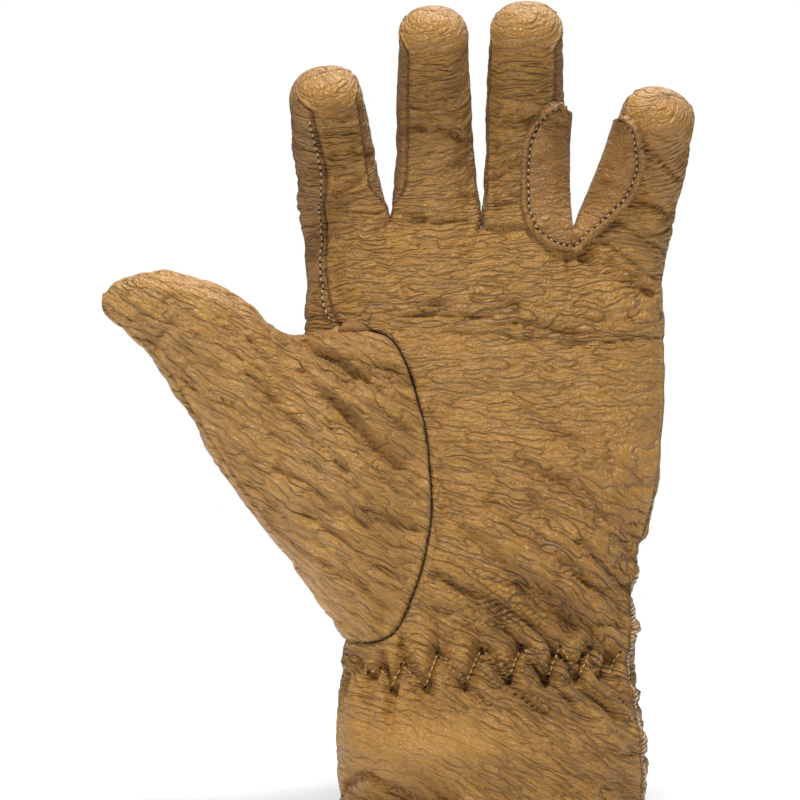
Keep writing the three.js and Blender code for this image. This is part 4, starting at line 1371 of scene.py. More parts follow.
class SharedGroup:
    """A node group that is built once and placed in every material that asks for it."""

    NAME: str
    INPUTS: dict[str, tuple[str, float | None]]
    OUTPUTS: dict[str, str]

    @classmethod
    def group(cls) -> bpy.types.NodeTree:
        """Builds the group at its first use.

        Returns:
            The group, with its named inputs and outputs.
        """
        if cls.NAME in bpy.data.node_groups:
            return bpy.data.node_groups[cls.NAME]
        tree = bpy.data.node_groups.new(cls.NAME, "ShaderNodeTree")
        for name, (kind, value) in cls.INPUTS.items():
            entry = tree.interface.new_socket(name=name, in_out="INPUT", socket_type=kind)
            if value is not None:
                entry.default_value = value
        for name, kind in cls.OUTPUTS.items():
            tree.interface.new_socket(name=name, in_out="OUTPUT", socket_type=kind)
        given, result = tree.nodes.new("NodeGroupInput"), tree.nodes.new("NodeGroupOutput")
        bench = Wiring(tree)
        bench.fill(result, cls.wire(bench, given.outputs))
        return tree


class LeatherRelief(SharedGroup):
    """The skin's own relief: pebbled grain, and long cells and strokes that are its wrinkles, with a mask of painted
    shade in them. Depths are in mm.
    """

    NAME = "leather_relief"
    INPUTS = {
        "Flow": (VECTOR, None), "Wrinkle": (NUMBER, 0.5), "Grain": (NUMBER, 1.0),
        "Length": (NUMBER, 4.0), "Width": (NUMBER, 1.6),
    }
    OUTPUTS = {"Height": NUMBER, "Crease": NUMBER}
    BEND_SCALE, BEND_DETAIL, BEND_PUSH = 0.14, 2.5, (6.0, 6.0, 3.0)
    WIDE_ROUND, WIDE_DEPTH, WIDE_LINE = 0.5, 0.46, 0.10
    CLOSE_SCALE, CLOSE_ROUND, CLOSE_DEPTH, CLOSE_LINE = 2.1, 0.45, 0.16, 0.08
    STROKE_REACH, STROKE_DETAIL, STROKE_GAIN = (1.5, 1.5, 1.6), 1.5, 6.0
    STROKE_ROUND, STROKE_DEPTH, STROKE_LINE = 0.7, 0.72, 0.24
    PEBBLE_SHAPE, PEBBLE_SCALE, PEBBLE_ROUND = (1.0, 1.0, 1.4), 0.66, 0.5
    PEBBLE_DEPTH, PEBBLE_LINE, PEBBLE_DARK = 0.15, 0.12, 0.2
    PORE_SCALE, PORE_DEPTH = 2.2, 0.02
    CELL_SHADE = 0.4

    @classmethod
    def wire(cls, bench: Wiring, given: bpy.types.NodeOutputs) -> dict[str, Socket]:
        """Works out a height in millimetres and a mask of painted shade in the creases.

        The flow vector is bent by noise. Wide and close cells lie along it, stretched to Length and Width; their
        borders are wrinkles, and so are strokes, the lines where a stretched noise passes its middle. Round cells
        give the pebbles. Wrinkle scales the depth of the wrinkles, and Grain that of the pebbles and pores. The
        shade mask is painted shade along the cells' borders, the strokes and the pebbles' edges; Wrinkle scales it
        there, except at the pebbles.

        Args:
            bench: the group's wiring.
            given: its inputs.

        Returns:
            A socket for each output.
        """
        bend = bench.noise(given["Flow"], cls.BEND_SCALE, cls.BEND_DETAIL).outputs["Color"]
        pushed = bench.vectors("MULTIPLY", bench.vectors("SUBTRACT", bend, (0.5, 0.5, 0.5)), cls.BEND_PUSH)
        bent = bench.vectors("ADD", given["Flow"], pushed)
        sides = {0: given["Length"], 1: given["Length"], 2: given["Width"]}
        size = bench.node("ShaderNodeCombineXYZ", sides).outputs[0]
        stretched = bench.vectors("DIVIDE", bent, size)
        wide, close = bench.cells(stretched, 1.0), bench.cells(stretched, cls.CLOSE_SCALE)
        pebble = bench.cells(bench.vectors("MULTIPLY", bent, cls.PEBBLE_SHAPE), cls.PEBBLE_SCALE)
        pores = bench.noise(given["Flow"], cls.PORE_SCALE, 1.0).outputs[0]
        reach = bench.vectors("DIVIDE", bent, bench.vectors("MULTIPLY", size, cls.STROKE_REACH))
        strokes = bench.noise(reach, 1.0, cls.STROKE_DETAIL).outputs[0]
        away = bench.numbers("ABSOLUTE", bench.numbers("SUBTRACT", strokes, 0.5))
        stroke = bench.numbers("MULTIPLY", away, cls.STROKE_GAIN)
        wrinkle = bench.weighted(
            (bench.pillow(wide, cls.WIDE_ROUND), cls.WIDE_DEPTH),
            (bench.pillow(close, cls.CLOSE_ROUND), cls.CLOSE_DEPTH),
            (bench.pillow(stroke, cls.STROKE_ROUND), cls.STROKE_DEPTH),
        )
        grain = bench.weighted((bench.pillow(pebble, cls.PEBBLE_ROUND), cls.PEBBLE_DEPTH), (pores, cls.PORE_DEPTH))
        # Painted shade: dark lines along the borders of the wide and close cells, along the strokes (drawn) and along
        # the pebbles' edges.
        borders = bench.numbers("MAXIMUM", bench.line(wide, cls.WIDE_LINE), bench.line(close, cls.CLOSE_LINE))
        borders = bench.numbers("MULTIPLY", borders, cls.CELL_SHADE)
        drawn = bench.numbers("MAXIMUM", borders, bench.line(stroke, cls.STROKE_LINE))
        dotted_shade = bench.line(pebble, cls.PEBBLE_LINE)
        return {
            "Height": bench.weighted((wrinkle, given["Wrinkle"]), (grain, given["Grain"])),
            "Crease": bench.weighted((drawn, given["Wrinkle"]), (dotted_shade, cls.PEBBLE_DARK)),
        }


class ToneAndShade(SharedGroup):
    """The colour: dye blotches, painted shade in creases and folds, rubbed high places and the raw inner side.

    Each look is a noise's scale and detail and the values that become 0 and 1.
    """

    NAME = "skin_tone"
    INPUTS = {
        "Base": (COLOUR, None), "Deep": (COLOUR, None), "Rubbed": (COLOUR, None), "Raw": (COLOUR, None),
        "Flow": (VECTOR, None), "Crease": (NUMBER, 0.0), "Fold": (NUMBER, 0.0), "Seam": (NUMBER, 0.0),
        "Inside": (NUMBER, 0.0),
    }
    OUTPUTS = {"Colour": COLOUR, "Roughness": NUMBER}
    BLOTCH_LOOK, BLOTCH_SHARE = (0.035, 3.0, 0.35, 0.65), 0.18
    FINE_LOOK, FINE_SHARE, FINE_ROUGH = (0.8, 3.0, 0.3, 0.7), 0.06, 0.4
    RUB_LOOK, RUB_SHARE = (0.16, 4.0, 0.45, 0.8), 0.22
    # CREASE_DARK and DARK_SHARE set how much painted shade the creases and folds get; CREASE_ROUGH makes the creases
    # more matt.
    CREASE_DARK, CREASE_ROUGH, DARK_SHARE, SEAM_SHARE, MATT = 0.7, 0.2, 0.8, 0.5, 0.42

    @classmethod
    def wire(cls, bench: Wiring, given: bpy.types.NodeOutputs) -> dict[str, Socket]:
        """Works out a colour from the base and the seam mark, with painted shade in the creases and folds, and a
        roughness.

        Args:
            bench: the group's wiring.
            given: its inputs.

        Returns:
            A socket for each output.
        """
        blotch = bench.numbers("MULTIPLY", bench.patches(given["Flow"], cls.BLOTCH_LOOK), cls.BLOTCH_SHARE)
        fine = bench.numbers("MULTIPLY", bench.patches(given["Flow"], cls.FINE_LOOK), cls.FINE_SHARE)
        dyed = bench.blend(bench.numbers("ADD", blotch, fine), given["Base"], given["Deep"])
        # Painted shade: the creases and folds blend towards the deep colour.
        shaded_crease = bench.numbers("MULTIPLY", given["Crease"], cls.CREASE_DARK)
        dark = bench.numbers("ADD", shaded_crease, given["Fold"], True)
        shaded = bench.blend(bench.numbers("MULTIPLY", dark, cls.DARK_SHARE), dyed, given["Deep"])
        high = bench.numbers("SUBTRACT", cls.RUB_SHARE, given["Fold"], True)
        rub = bench.numbers("MULTIPLY", bench.patches(given["Flow"], cls.RUB_LOOK), high)
        worn = bench.blend(rub, shaded, given["Rubbed"])
        sewn = bench.blend(bench.numbers("MULTIPLY", given["Seam"], cls.SEAM_SHARE), worn, given["Deep"])
        matt = bench.numbers("ADD", bench.numbers("MULTIPLY", given["Crease"], cls.CREASE_ROUGH), cls.MATT)
        rough = bench.numbers("ADD", matt, bench.numbers("MULTIPLY", fine, cls.FINE_ROUGH), True)
        return {"Colour": bench.blend(given["Inside"], sewn, given["Raw"]), "Roughness": rough}


def linear(colour: Dye) -> tuple[float, float, float, float]:
    """A colour in display values from 0 to 255 as the linear values that a shader takes.

    Args:
        colour: red, green and blue.

    Returns:
        The same as linear values, and an alpha of 1.
    """
    part = np.array(colour, float) / 255
    values = np.where(part <= 0.04045, part / 12.92, ((part + 0.055) / 1.055) ** 2.4)
    return (*values.tolist(), 1.0)


@dataclass(frozen=True)
class Leather:
    """A finish of tanned deerskin: its colours, the size of its wrinkles and how strong its grain is."""

    name: str
    base: Dye
    # deep is both the darker dye of the blotches and the painted shade of the creases and folds.
    deep: Dye
    rubbed: Dye
    raw: Dye = (196, 160, 116)
    length: float = 7.0
    width: float = 1.6
    grain: float = 0.8
    emboss: float = 2.1

    def material(self) -> bpy.types.Material:
        """The material: a colour-and-painted-shade group and a relief group in front of a plain leather shader with a
        little sheen.

        Returns:
            The material.
        """
        material = bpy.data.materials.new(self.name)
        material.use_nodes = True
        material.node_tree.nodes.clear()
        bench = Wiring(material.node_tree)
        marks = {
            key: bench.node("ShaderNodeAttribute", {}, attribute_name=key).outputs["Vector" if key == "flow" else "Fac"]
            for key in ("flow", "wrinkle", "fold", "sewn", "inside")
        }
        skin = bench.node("ShaderNodeGroup", {
            "Flow": marks["flow"], "Wrinkle": marks["wrinkle"], "Grain": self.grain,
            "Length": self.length, "Width": self.width,
        }, node_tree=LeatherRelief.group())
        tone_shade = bench.node("ShaderNodeGroup", {
            "Base": linear(self.base), "Deep": linear(self.deep), "Rubbed": linear(self.rubbed),
            "Raw": linear(self.raw), "Flow": marks["flow"], "Crease": skin.outputs["Crease"],
            "Fold": marks["fold"], "Seam": marks["sewn"], "Inside": marks["inside"],
        }, node_tree=ToneAndShade.group())
        bump = bench.node("ShaderNodeBump", {
            "Distance": self.emboss * MM, "Strength": 1.0, "Height": skin.outputs["Height"],
        })
        shader = bench.node("ShaderNodeBsdfPrincipled", {
            "Base Color": tone_shade.outputs["Colour"], "Roughness": tone_shade.outputs["Roughness"], "Normal": bump.outputs[0],
            "Specular IOR Level": 0.5, "Sheen Weight": 0.12, "Sheen Roughness": 0.5,
        })
        bench.node("ShaderNodeOutputMaterial", {0: shader.outputs[0]})
        return material


@dataclass(frozen=True)
class Thread:
    """A finish of sewing thread: its colour, broken up along the stitch."""

    name: str
    colour: Dye
    shade: Dye

    def material(self) -> bpy.types.Material:
        """The material: two shades mixed by fine noise over a matt shader.

        Returns:
            The material.
        """
        material = bpy.data.materials.new(self.name)
        material.use_nodes = True
        bench = Wiring(material.node_tree)
        place = bench.node("ShaderNodeTexCoord", {}).outputs["Object"]
        strands = bench.node("ShaderNodeTexNoise", {"Vector": place, "Scale": 900.0}).outputs[0]
        bench.fill(material.node_tree.nodes["Principled BSDF"], {
            "Base Color": bench.blend(strands, linear(self.colour), linear(self.shade)),
            "Roughness": 0.8, "Specular IOR Level": 0.2,
        })
        return material


class Finish(Enum):
    """The finishes of the glove's pieces, each with the record's slot that it belongs to."""

    PALM = ("palm_leather", Leather("palm_leather", (192, 140, 62), (96, 58, 14), (214, 168, 98)))
    BACK = ("back_leather", Leather("back_leather", (184, 134, 66), (92, 56, 18), (202, 160, 96), grain=0.6))
    THUMB = ("thumb_leather", Leather("thumb_leather", (204, 152, 76), (106, 64, 16), (220, 178, 112), width=1.9))
    SIDE = ("side_leather", Leather("side_leather", (168, 120, 58), (88, 54, 20), (188, 144, 86), grain=0.6))
    PATCH = ("patch_leather", Leather("patch_leather", (168, 120, 56), (84, 52, 18), (188, 144, 86)))
    EDGE = ("edge_leather", Leather("edge_leather", (208, 172, 112), (126, 86, 40), (224, 190, 138)))
    PALE = ("pale_thread", Thread("pale_thread", (226, 214, 186), (176, 160, 130)))
    TAN = ("tan_thread", Thread("tan_thread", (228, 196, 136), (172, 132, 78)))
    # The dark thread also colours the plugs of painted shade between the stitches and at the zigzag's turns.
    DARK = ("dark_thread", Thread("dark_thread", (70, 44, 20), (38, 22, 10)))


class Wardrobe:
    """Makes each finish once, and dresses pieces: material, body and the nodes that they stand for."""

    def __init__(self) -> None:
        """Starts with no materials made."""
        self.made: dict[Finish, bpy.types.Material] = {}

    def dress(self, piece: Piece, finish: Finish, *nodes: str) -> None:
        """Gives a piece its finish, lets it ride on the body and replaces the nodes that it stands for.

        Args:
            piece: the object.
            finish: its finish.
            nodes: the nodes that it replaces.
        """
        if finish not in self.made:
            self.made[finish] = finish.value[1].material()
        piece.data.materials.append(self.made[finish])
        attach(piece, "root")
        if nodes:
            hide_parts(*nodes)
        LOG.info("%s: %d faces", piece.name, len(piece.data.polygons))


# Thread work


@dataclass(frozen=True)
class Stitching:
    """A row of stitches along a line on the leather, as one mesh of small bowed, pointed cylinders."""

    length: float
    pitch: float
    radius: float
    rise: float = 0.35
    around: int = 6
    along: int = 5

    def places(self, path: Array, facing: Array) -> tuple[Array, Array, Array]:
        """Starts, ends and normals of the stitches, evenly spaced by length along the line.

        Args:
            path: points of the line.
            facing: the leather's normals there.

        Returns:
            The starts, the ends and the normals.
        """
        start = np.arange(self.pitch * 0.3, run_lengths(path)[-1] - self.length, self.pitch)
        facing = unit(read_along(path, start + self.length / 2, facing))
        return read_along(path, start, path), read_along(path, start + self.length, path), facing

    def mesh(self, starts: Array, ends: Array, facing: Array) -> tuple[Array, Array]:
        """The stitches' points and faces: round sections whose size goes with the root of a sine along each.

        Args:
            starts: where the stitches start.
            ends: where they end.
            facing: the way that they bow out.

        Returns:
            The points and the faces.
        """
        share = np.linspace(0, 1, self.along)
        turn = 2 * np.pi * np.arange(self.around) / self.around
        middle = mix(starts[:, None], ends[:, None], share[None, :, None])
        middle = middle + facing[:, None] * (self.rise * np.sin(np.pi * share)[None, :, None])
        side = unit(np.cross(ends - starts, facing))
        size = self.radius * np.sqrt(np.clip(np.sin(np.pi * share), 0.02, 1))
        ring = (
            np.cos(turn)[None, None, :, None] * side[:, None, None]
            + np.sin(turn)[None, None, :, None] * facing[:, None, None]
        )
        points = middle[:, :, None] + ring * size[None, :, None, None]
        count = self.along * self.around
        row, column = np.meshgrid(np.arange(self.along - 1), np.arange(self.around), indexing="ij")
        following = (column + 1) % self.around
        a, b = row * self.around + column, row * self.around + following
        c, d = (row + 1) * self.around + following, (row + 1) * self.around + column
        sides = np.concatenate([np.stack([a, c, b], -1).reshape(-1, 3), np.stack([a, d, c], -1).reshape(-1, 3)])
        fan = np.arange(1, self.around - 1)
        last = count - self.around
        ends_faces = np.concatenate([
            np.stack([0 * fan, fan, fan + 1], -1), np.stack([last + 0 * fan, last + fan + 1, last + fan], -1),
        ])
        one = np.concatenate([sides, ends_faces])
        faces = (one[None] + (np.arange(len(starts)) * count)[:, None, None]).reshape(-1, 3)
        return points.reshape(-1, 3), faces

    def sewn(self, name: str, lines: list[tuple[Array, Array]]) -> Piece:
        """One object with the stitches of all the lines.

        Args:
            name: the object's name.
            lines: paths and their normals.

        Returns:
            The object.
        """
        rows = [self.places(path, facing) for path, facing in lines]
        starts, ends, facing = (np.concatenate([row[i] for row in rows]) for i in range(3))
        return made(name, *self.mesh(starts, ends, facing), {})

    def pricked(self, name: str, lines: list[tuple[Array, Array]], size: float) -> Piece:
        """Painted shade where the needle went in: short dark plugs that stand just out of the leather between the
        stitches.

        Args:
            name: the object's name.
            lines: paths and their normals.
            size: a plug's radius.

        Returns:
            The object.
        """
        rows = [self.places(path, facing) for path, facing in lines]
        starts, _, facing = (np.concatenate([row[i] for row in rows]) for i in range(3))
        along = unit(np.concatenate([row[1] - row[0] for row in rows]))
        plug = Stitching(size * 2, self.pitch, size, 0.12)
        middle = starts - along * (self.pitch - self.length) / 2
        return made(name, *plug.mesh(middle - along * size, middle + along * size, facing), {})


# Stitches of each kind: length, pitch, radius and rise.
PALE_STITCH = Stitching(1.1, 2.0, 0.24, 0.25)
WRIST_STITCH = Stitching(1.5, 1.9, 0.24, 0.2)
# WRIST_HOLE sizes the dark plugs of painted shade at the zigzag's turns.
WRIST_HOLE = Stitching(1.1, 2.0, 0.45, 0.1)
THUMB_STITCH = Stitching(1.9, 2.2, 0.18, 0.12)
WHIP_STITCH = Stitching(2.0, 1.2, 0.22, 0.3)


# The pieces


@dataclass
class Panels:
    """The leather panels of the glove, raised and closed, and the lines on them that are sewn."""

    wardrobe: Wardrobe
    wrinkles: Wrinkles = field(default_factory=Wrinkles)
    sheets: dict[str, Sheet] = field(default_factory=dict)

    def strength(self, sheet: Sheet) -> Array:
        """How wrinkled the leather is: more in the lower palm, less by the thumb seam's top and on stretched skin.

        Args:
            sheet: the sheet before it is raised.

        Returns:
            One value from 0 to 1 for each point.
        """
        x, y, z = sheet.points.T
        value = mix(0.62, 0.35, smooth((y + 2) / 12))
        value -= 0.12 * smooth((x - 25) / 15) * smooth((z - 40) / 30)
        value += 0.35 * smooth((70 - z) / 60) * smooth((x + 25) / 40)
        value -= 0.55 * np.exp(-(((x + 14) / 12) ** 2 + ((z - 92) / 4.5) ** 2))
        value -= 0.35 * np.exp(-(((x + 10) / 30) ** 2 + ((z + 17) / 7) ** 2))
        value -= 0.18 * smooth((-8 - z) / 8)
        value += 0.25 * np.exp(-((z - 98) / 6) ** 2) * smooth((x + 30) / 15)
        return np.clip(value, 0.05, 1)

    def panel(self, name: str, grids: list[Grid], flipped: bool, finish: Finish, *nodes: str) -> None:
        """Builds one panel: welds it, raises its wrinkles, gives it its thickness and its finish.

        Args:
            name: the piece's name.
            grids: the grids that it is welded from.
            flipped: turns the faces round.
            finish: its finish.
            nodes: the nodes that it replaces.
        """
        flat = Sheet.of(grids, flipped)
        strength = self.strength(flat) * (1 - 0.6 * flat.quiet)
        height = self.wrinkles.height(flat, strength)
        x, y, z = flat.points.T
        # Painted shade: darker along the main folds and creases on the palm's side, and in the low places of the raised
        # height.
        folded = near_lines(x, z, FOLDS, False) * 0.02 + near_lines(x, z, CREASES, False) * 0.08
        fold = np.clip(folded * smooth((2 - y) / 5) + np.clip(-height - 0.6, 0, 1) * 0.12, 0, 1)
        marks = {"wrinkle": strength, "fold": fold, "sewn": np.exp(-((flat.seam / SEAM_REACH) ** 2))}
        piece = flat.solid(name, height, height - LEATHER, marks)
        self.wardrobe.dress(piece, finish, *nodes)
        self.sheets[name] = flat.raised(height)

    def build(self) -> None:
        """Makes the palm, the back, the thumb and the three sides between the fingers."""
        self.panel("palm", PALM.grids(), False, Finish.PALM, "palm_panel")
        self.panel("back", BACK.grids(), True, Finish.BACK, "back_panel")
        self.panel("thumb", [Thumb().grid()], True, Finish.THUMB, "thumb_panel")
        for number in range(3):
            pair = f"{FINGERS[number].name}_{FINGERS[number + 1].name}"
            self.panel(f"side_{pair}", [Pile(number).grid()], True, Finish.SIDE, f"fourchette_{pair}")

    def line(self, name: str, numbers: Array, out: float) -> tuple[Array, Array]:
        """A line of a panel's points and their normals, moved out from the leather.

        Args:
            name: the panel.
            numbers: the points' numbers in order.
            out: how far out.

        Returns:
            The points and their normals.
        """
        sheet = self.sheets[name]
        keep = np.concatenate([[True], numbers[1:] != numbers[:-1]])
        normals = sheet.normals()[numbers[keep]]
        return sheet.points[numbers[keep]] + normals * out, normals

    def depth_map(self) -> DepthMap:
        """The palm's side of all the panels."""
        return DepthMap.of([sheet.points for sheet in self.sheets.values()])


@dataclass
class Patch:
    """The patch round the crotch of the ring and little fingers: a band in a U with a thick rolled edge."""

    surface: DepthMap
    steps: int = 320
    columns: int = 40
    wrapped: int = 7
    clearance: float = 0.2
    thickness: float = 1.0
    lift: float = 1.0
    trim: float = 0.01
    evened: int = 18
    stitch_line: float = 2.15
    narrowest: float = 4.6

    def edge(self, first: int) -> Array:
        """One of the band's two edges in the palm's plane: a smooth curve through its column of the table."""
        points = np.stack([PATCH[:, first], 0 * PATCH[:, 0], PATCH[:, first + 1]], axis=-1)
        return spline(points[None], np.linspace(self.trim, 1 - self.trim, self.steps + 1))[0]

    def sheet(self) -> Sheet:
        """The band laid on the palm's side; from its inner edge it turns back round the sides of the fingers.

        Returns:
            The sheet, whose seam distance is that to the outer edge.
        """
        inner, outer = self.edge(0), self.edge(2)
        share = np.linspace(0, 1, self.columns + 1)
        plane = mix(inner[:, None], outer[:, None], share[None, :, None])
        front = self.surface.drape(plane[..., 0], plane[..., 2])
        padded = np.pad(front[..., 1], ((self.evened, self.evened), (0, 0)), mode="edge")
        level = np.mean([padded[i:i + len(front)] for i in range(2 * self.evened + 1)], axis=0)
        front[..., 1] = np.minimum(level, front[..., 1] + 0.1)
        front[..., 1] -= self.lift * smooth((np.abs(np.linspace(-1, 1, self.steps + 1)) - 0.82) / 0.1)[:, None]
        turn = np.pi * smooth((np.linspace(0, 1, self.steps + 1) - 0.42) / 0.16)
        ahead = np.stack([np.cos(turn), 0 * turn, np.sin(turn)], axis=-1)[:, None]
        back = np.arange(self.wrapped, 0, -1)[None, :, None]
        turned = front[:, :1] + np.array([0, 0.7, 0]) * back + ahead * 0.5 * np.sin(back / self.wrapped * 1.6)
        points = np.concatenate([turned, front], axis=1)
        length = arc_lengths(points)
        return Sheet.of([Grid(points, points, length[:, -1:] - length)], False)

    def build(self, wardrobe: Wardrobe) -> None:
        """Makes the patch: its outer edge rolls down in a quarter circle, and a groove runs under the stitches.

        Args:
            wardrobe: what dresses the piece.
        """
        sheet = self.sheet()
        away = sheet.seam
        roll = np.sqrt(np.clip(1 - np.clip(1 - away / 0.9, 0, 1) ** 2, 0, 1))
        groove = 0.5 * np.exp(-(((away - self.stitch_line) / 0.45) ** 2))
        bead = 1.0 * np.exp(-(((away - 0.95) / 0.8) ** 2))
        outside = self.clearance + (self.thickness + bead) * roll - groove
        pebbles = 0.12 * noise(sheet.points / 1.9, 3)
        outside = outside + pebbles * smooth(away / 2)
        sewn = 0.5 * np.exp(-((away / 0.3) ** 2))
        # Painted shade in the groove under the stitches.
        marks = {"wrinkle": np.full(len(away), 0.25), "fold": np.clip(groove * 0.5, 0, 1), "sewn": sewn}
        wardrobe.dress(sheet.solid("patch", outside, -0.3, marks), Finish.PATCH, "rein_patch")


@dataclass
class Quirk:
    """The small rounded triangle of leather above the top of the thumb seam."""

    surface: DepthMap
    left: float = -42.2
    right: float = -33.6
    bottom: float = 94.6
    apex: tuple[float, float] = (-38.6, 98.6)

    def build(self, wardrobe: Wardrobe) -> None:
        """Makes it: rows narrow to the apex by a power of the rise, laid on the palm and domed.

        Args:
            wardrobe: what dresses the piece.
        """
        rise = np.linspace(0, 1, 21)[:, None]
        flat = mix(self.left, self.right, np.linspace(0, 1, 25))[None]
        x = mix(self.apex[0], flat, (1 - rise) ** 0.7)
        z = mix(self.bottom, self.apex[1], rise) + 0 * flat
        points = self.surface.drape(x, z)
        to_edge = np.minimum((x - x[:, :1]), (x[:, -1:] - x))
        sheet = Sheet.of([Grid(points, points + 20, to_edge)], False)
        dome = 0.5 + 1.1 * smooth(sheet.seam / 1.5)
        marks = {"wrinkle": np.full(len(dome), 0.2), "fold": 0 * dome, "sewn": np.exp(-((sheet.seam / 0.5) ** 2))}
        wardrobe.dress(sheet.solid("quirk", dome, -0.2, marks), Finish.PATCH, "thumb_quirk")


@dataclass
class Binding:
    """The rolled hem of the cuff: a tube along the lowest edge of both panels."""

    palm: Array
    back: Array
    radius: float = 1.6
    steps: int = 420
    sides: int = 20

    def build(self, wardrobe: Wardrobe) -> None:
        """Makes it: a circle carried round the closed edge, its radius varied by slow noise.

        Args:
            wardrobe: what dresses the piece.
        """
        loop = np.concatenate([self.palm, self.back[::-1]])
        gaps = np.linalg.norm(np.diff(loop, axis=0), axis=1)
        loop = loop[np.concatenate([[True], gaps > 0.05])]
        closed = np.concatenate([loop, loop[:1]])
        place = np.linspace(0, run_lengths(closed)[-1], self.steps, endpoint=False)
        middle = read_along(closed, place, closed)
        for _ in range(6):
            middle = (np.roll(middle, 1, 0) + np.roll(middle, -1, 0) + 2 * middle) / 4
        centre = middle.mean(0)
        outward = unit((middle - centre) * np.array([1, 1, 0]))
        middle = middle - outward * LEATHER / 2 - np.array([0, 0, self.radius * 0.75])
        turn = 2 * np.pi * np.arange(self.sides) / self.sides
        size = self.radius * (1 + 0.10 * noise(middle / 5, 9))[:, None, None]
        points = (
            middle[:, None] + outward[:, None] * np.cos(turn)[None, :, None] * size
            + np.array([0, 0, 1.0]) * np.sin(turn)[None, :, None] * size
        )
        wrapped = np.pad(points, ((0, 1), (0, 1), (0, 0)), mode="wrap")
        sheet = Sheet.of([Grid(wrapped, wrapped[..., [2, 1, 0]], np.full(wrapped.shape[:2], 9.0))], False)
        out = np.sum(sheet.normals() * (sheet.points - centre) * np.array([1, 1, 0]))
        faces = sheet.faces if out > 0 else sheet.faces[:, ::-1]
        marks = {"flow": sheet.flow, "wrinkle": np.full(len(sheet.points), 0.3), "fold": np.zeros(len(sheet.points))}
        wardrobe.dress(made("hem", sheet.points, faces, marks), Finish.EDGE, "cuff_binding")


@dataclass
class Sewing:
    """All the visible thread: index seam, patch, wrist zigzag, thumb seams and the whipped outer seam."""

    panels: Panels
    surface: DepthMap
    wardrobe: Wardrobe
    index_start: float = 97
    index_free: int = 16
    index_out: float = 0.3

    def index_edge(self) -> tuple[Array, Array]:
        """The line just inside the back panel's edge, from beside the crotch of the thumb on up the index finger.

        Returns:
            The points and their normals.
        """
        sheet = self.panels.sheets["back"]
        body, finger = sheet.ids[0][:, 1], sheet.ids[1][:, 1]
        low = sheet.points[body, 2] > self.index_start
        return self.panels.line("back", np.concatenate([body[low], finger[1:-self.index_free]]), self.index_out)

    def build(self) -> None:
        """Sews every row."""
        for name, lines in (("patch", self.patch_lines()), ("index", [self.index_edge()])):
            self.wardrobe.dress(PALE_STITCH.sewn(f"{name}_stitches", lines), Finish.PALE)
            # The dark plugs between the stitches are painted shade where the needle went in.
            self.wardrobe.dress(PALE_STITCH.pricked(f"{name}_holes", lines, 0.32), Finish.DARK)
        self.zigzag()
        self.thumb_seam()
        self.outer_seam()

    def patch_lines(self) -> list[tuple[Array, Array]]:
        """The patch's two lines of stitches, one up each finger from the middle of the crotch.

        Returns:
            A path and its normals for each line.
        """
        patch = Patch(self.surface)
        sheet = patch.sheet()
        rows = sheet.ids[0]
        away = sheet.seam[rows]
        column = np.argmax(away < patch.stitch_line, axis=1)[:, None]
        before, after = (np.take_along_axis(away, column - back, 1) for back in (1, 0))
        share = (before - patch.stitch_line) / np.maximum(before - after, 1e-6)
        first, second = (np.take_along_axis(rows, column - back, 1)[:, 0] for back in (1, 0))
        normals = sheet.normals()
        facing = unit(normals[first] + normals[second])
        path = mix(sheet.points[first], sheet.points[second], share)
        wide = np.linalg.norm(patch.edge(0) - patch.edge(2), axis=1) > patch.narrowest
        half = len(rows) // 2
        lines = []
        for keep in (np.flatnonzero(wide[:half]), half + np.flatnonzero(wide[half:])):
            lines.append((path[keep] + facing[keep] * 0.95, facing[keep]))
        return lines

    def zigzag(self) -> None:
        """The elastic's thread: tan stitches up each rising leg, sunk ones down, and dark plugs of painted shade at the
        turns.
        """
        turns = THREAD_TURNS
        lines = []
        for (x1, z1), (x2, z2) in zip(turns[:-1], turns[1:]):
            share = np.linspace(0.06, 0.94, 24)
            x, z = mix(x1, x2, share), mix(z1, z2, share)
            facing = self.surface.facing(x, z)
            lines.append((self.surface.drape(x, z) + facing * (0.25 if z2 > z1 else -0.3), facing))
        self.wardrobe.dress(WRIST_STITCH.sewn("wrist_stitches", lines), Finish.TAN)
        # Painted shade at the turns: dark plugs sunk a little into the leather.
        facing = self.surface.facing(turns[:, 0], turns[:, 1])
        middle = self.surface.drape(turns[:, 0], turns[:, 1]) - facing * 0.15
        along = np.array([0, 0, 0.55])
        plugs = made("wrist_holes", *WRIST_HOLE.mesh(middle - along, middle + along, facing), {})
        self.wardrobe.dress(plugs, Finish.DARK)

    def thumb_seam(self) -> None:
        """The dark thread that shows in the groove round the ball of the thumb."""
        rows = self.panels.sheets["thumb"].ids[0]
        line = self.panels.line("thumb", rows[0, 4:114], 0.1)
        self.wardrobe.dress(THUMB_STITCH.sewn("thumb_stitches", [line]), Finish.DARK)

    def outer_seam(self) -> None:
        """The pale whip stitches over the outer seam at the wrist, each from the seam back to the glove's edge."""
        sheet = self.panels.sheets["back"]
        body = sheet.ids[0]
        height = sheet.points[body[:, -3], 2]
        rows = np.abs(height[None] - np.arange(-30, 27, WHIP_STITCH.pitch)[:, None]).argmin(axis=1)
        normals = sheet.normals()
        near, far = body[rows, -2], body[rows + 1, -6]
        starts, ends = sheet.points[near] + normals[near] * 0.15, sheet.points[far] + normals[far] * 0.15
        whipped = made("outer_stitches", *WHIP_STITCH.mesh(starts, ends, normals[near]), {})
        self.wardrobe.dress(whipped, Finish.PALE)


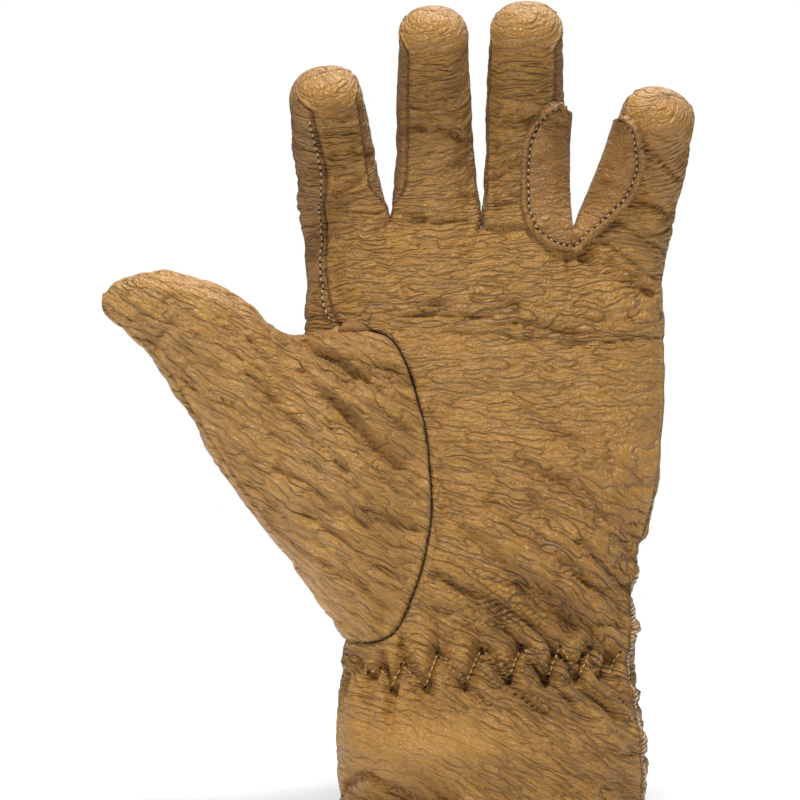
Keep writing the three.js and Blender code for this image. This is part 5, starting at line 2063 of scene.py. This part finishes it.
@dataclass(frozen=True)
class Studio:
    """The camera at the photograph's viewing angle, a pale floor and soft lights."""

    distance: float = 0.650
    aim: tuple[float, float] = (-0.0251, 0.0755)
    film: float = 36
    frame: float = 0.8
    scale: float = 3.55
    ambient: float = 0.13
    floor_size: float = 450.0
    floor_level: float = -49.4

    def camera(self) -> None:
        """A level camera in front of the palm, whose frame of 800 by 800 shows 3.55 pixels to a millimetre."""
        data = bpy.data.cameras.new("camera")
        data.sensor_width = self.film
        data.lens = self.film * self.distance / (self.frame / self.scale)
        data.clip_start = 0.01
        camera = bpy.data.objects.new("camera", data)
        camera.location = (self.aim[0], -self.distance, self.aim[1])
        camera.rotation_euler = (math.radians(90), 0, 0)
        bpy.context.scene.collection.objects.link(camera)
        bpy.context.scene.camera = camera

    def floor(self) -> None:
        """A wide, plain, pale floor under the cuff."""
        size, low = self.floor_size, self.floor_level
        corners = np.array([(-size, -size, low), (size, -size, low), (size, size, low), (-size, size, low)])
        piece = made("floor", corners, np.array([(0, 1, 2), (0, 2, 3)]), {})
        material = bpy.data.materials.new("pale_floor")
        material.use_nodes = True
        look = {"Base Color": (0.93, 0.93, 0.93, 1), "Roughness": 0.9, "Specular IOR Level": 0.1}
        Wiring(material.node_tree).fill(material.node_tree.nodes["Principled BSDF"], look)
        piece.data.materials.append(material)

    def light(self, name: str, place: tuple[float, float, float], size: float, power: float,
              colour: tuple[float, float, float] = (1.0, 1.0, 1.0)) -> None:
        """A square area light that looks at the middle of the palm.

        Args:
            name: the light's name.
            place: where it is, in metres.
            size: its side in metres.
            power: its power in watts.
            colour: its colour.
        """
        data = bpy.data.lights.new(name, "AREA")
        data.size = size
        data.energy = power
        data.color = colour
        lamp = bpy.data.objects.new(name, data)
        aim = np.array([-0.01, 0.0, 0.07]) - np.array(place)
        pitch = math.atan2(math.hypot(aim[0], aim[1]), -aim[2])
        lamp.location = place
        lamp.rotation_euler = (pitch, 0, math.atan2(-aim[0], aim[1]))
        bpy.context.scene.collection.objects.link(lamp)

    def surroundings(self) -> None:
        """White behind the glove, and a dimmer white that lights it from all round."""
        world = bpy.data.worlds.new("studio")
        world.use_nodes = True
        nodes, bench, white = world.node_tree.nodes, Wiring(world.node_tree), (1, 1, 1, 1)
        bench.fill(nodes["Background"], {0: white, 1: self.ambient})
        seen = bench.node("ShaderNodeBackground", {0: white, 1: 1.0}).outputs[0]
        direct = bench.node("ShaderNodeLightPath", {}).outputs["Is Camera Ray"]
        either = bench.node("ShaderNodeMixShader", {0: direct, 1: nodes["Background"].outputs[0], 2: seen})
        bench.fill(nodes["World Output"], {0: either.outputs[0]})
        bpy.context.scene.world = world

    def build(self) -> None:
        """Sets everything up, with colours shown as they are."""
        self.camera()
        self.floor()
        self.surroundings()
        self.light("key", (0.00, -0.52, 1.05), 0.25, 10.5, (1.0, 0.985, 0.96))
        self.light("side", (-1.00, -0.80, 0.40), 0.50, 3.2)
        self.light("top", (0.20, 0.45, 1.30), 1.00, 15.0)
        bpy.context.scene.view_settings.view_transform = "Standard"


def main() -> None:
    """Builds the glove over the frame, piece by piece, then the studio."""
    logging.basicConfig(level=logging.INFO, format="%(name)s %(message)s")
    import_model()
    wardrobe = Wardrobe()
    panels = Panels(wardrobe)
    panels.build()
    surface = panels.depth_map()
    Patch(surface).build(wardrobe)
    Quirk(surface).build(wardrobe)
    palm, back = panels.sheets["palm"], panels.sheets["back"]
    Binding(palm.points[palm.ids[0][0]], back.points[back.ids[0][0]]).build(wardrobe)
    Sewing(panels, surface, wardrobe).build()
    Studio().build()


if __name__ == "__main__":
    main()
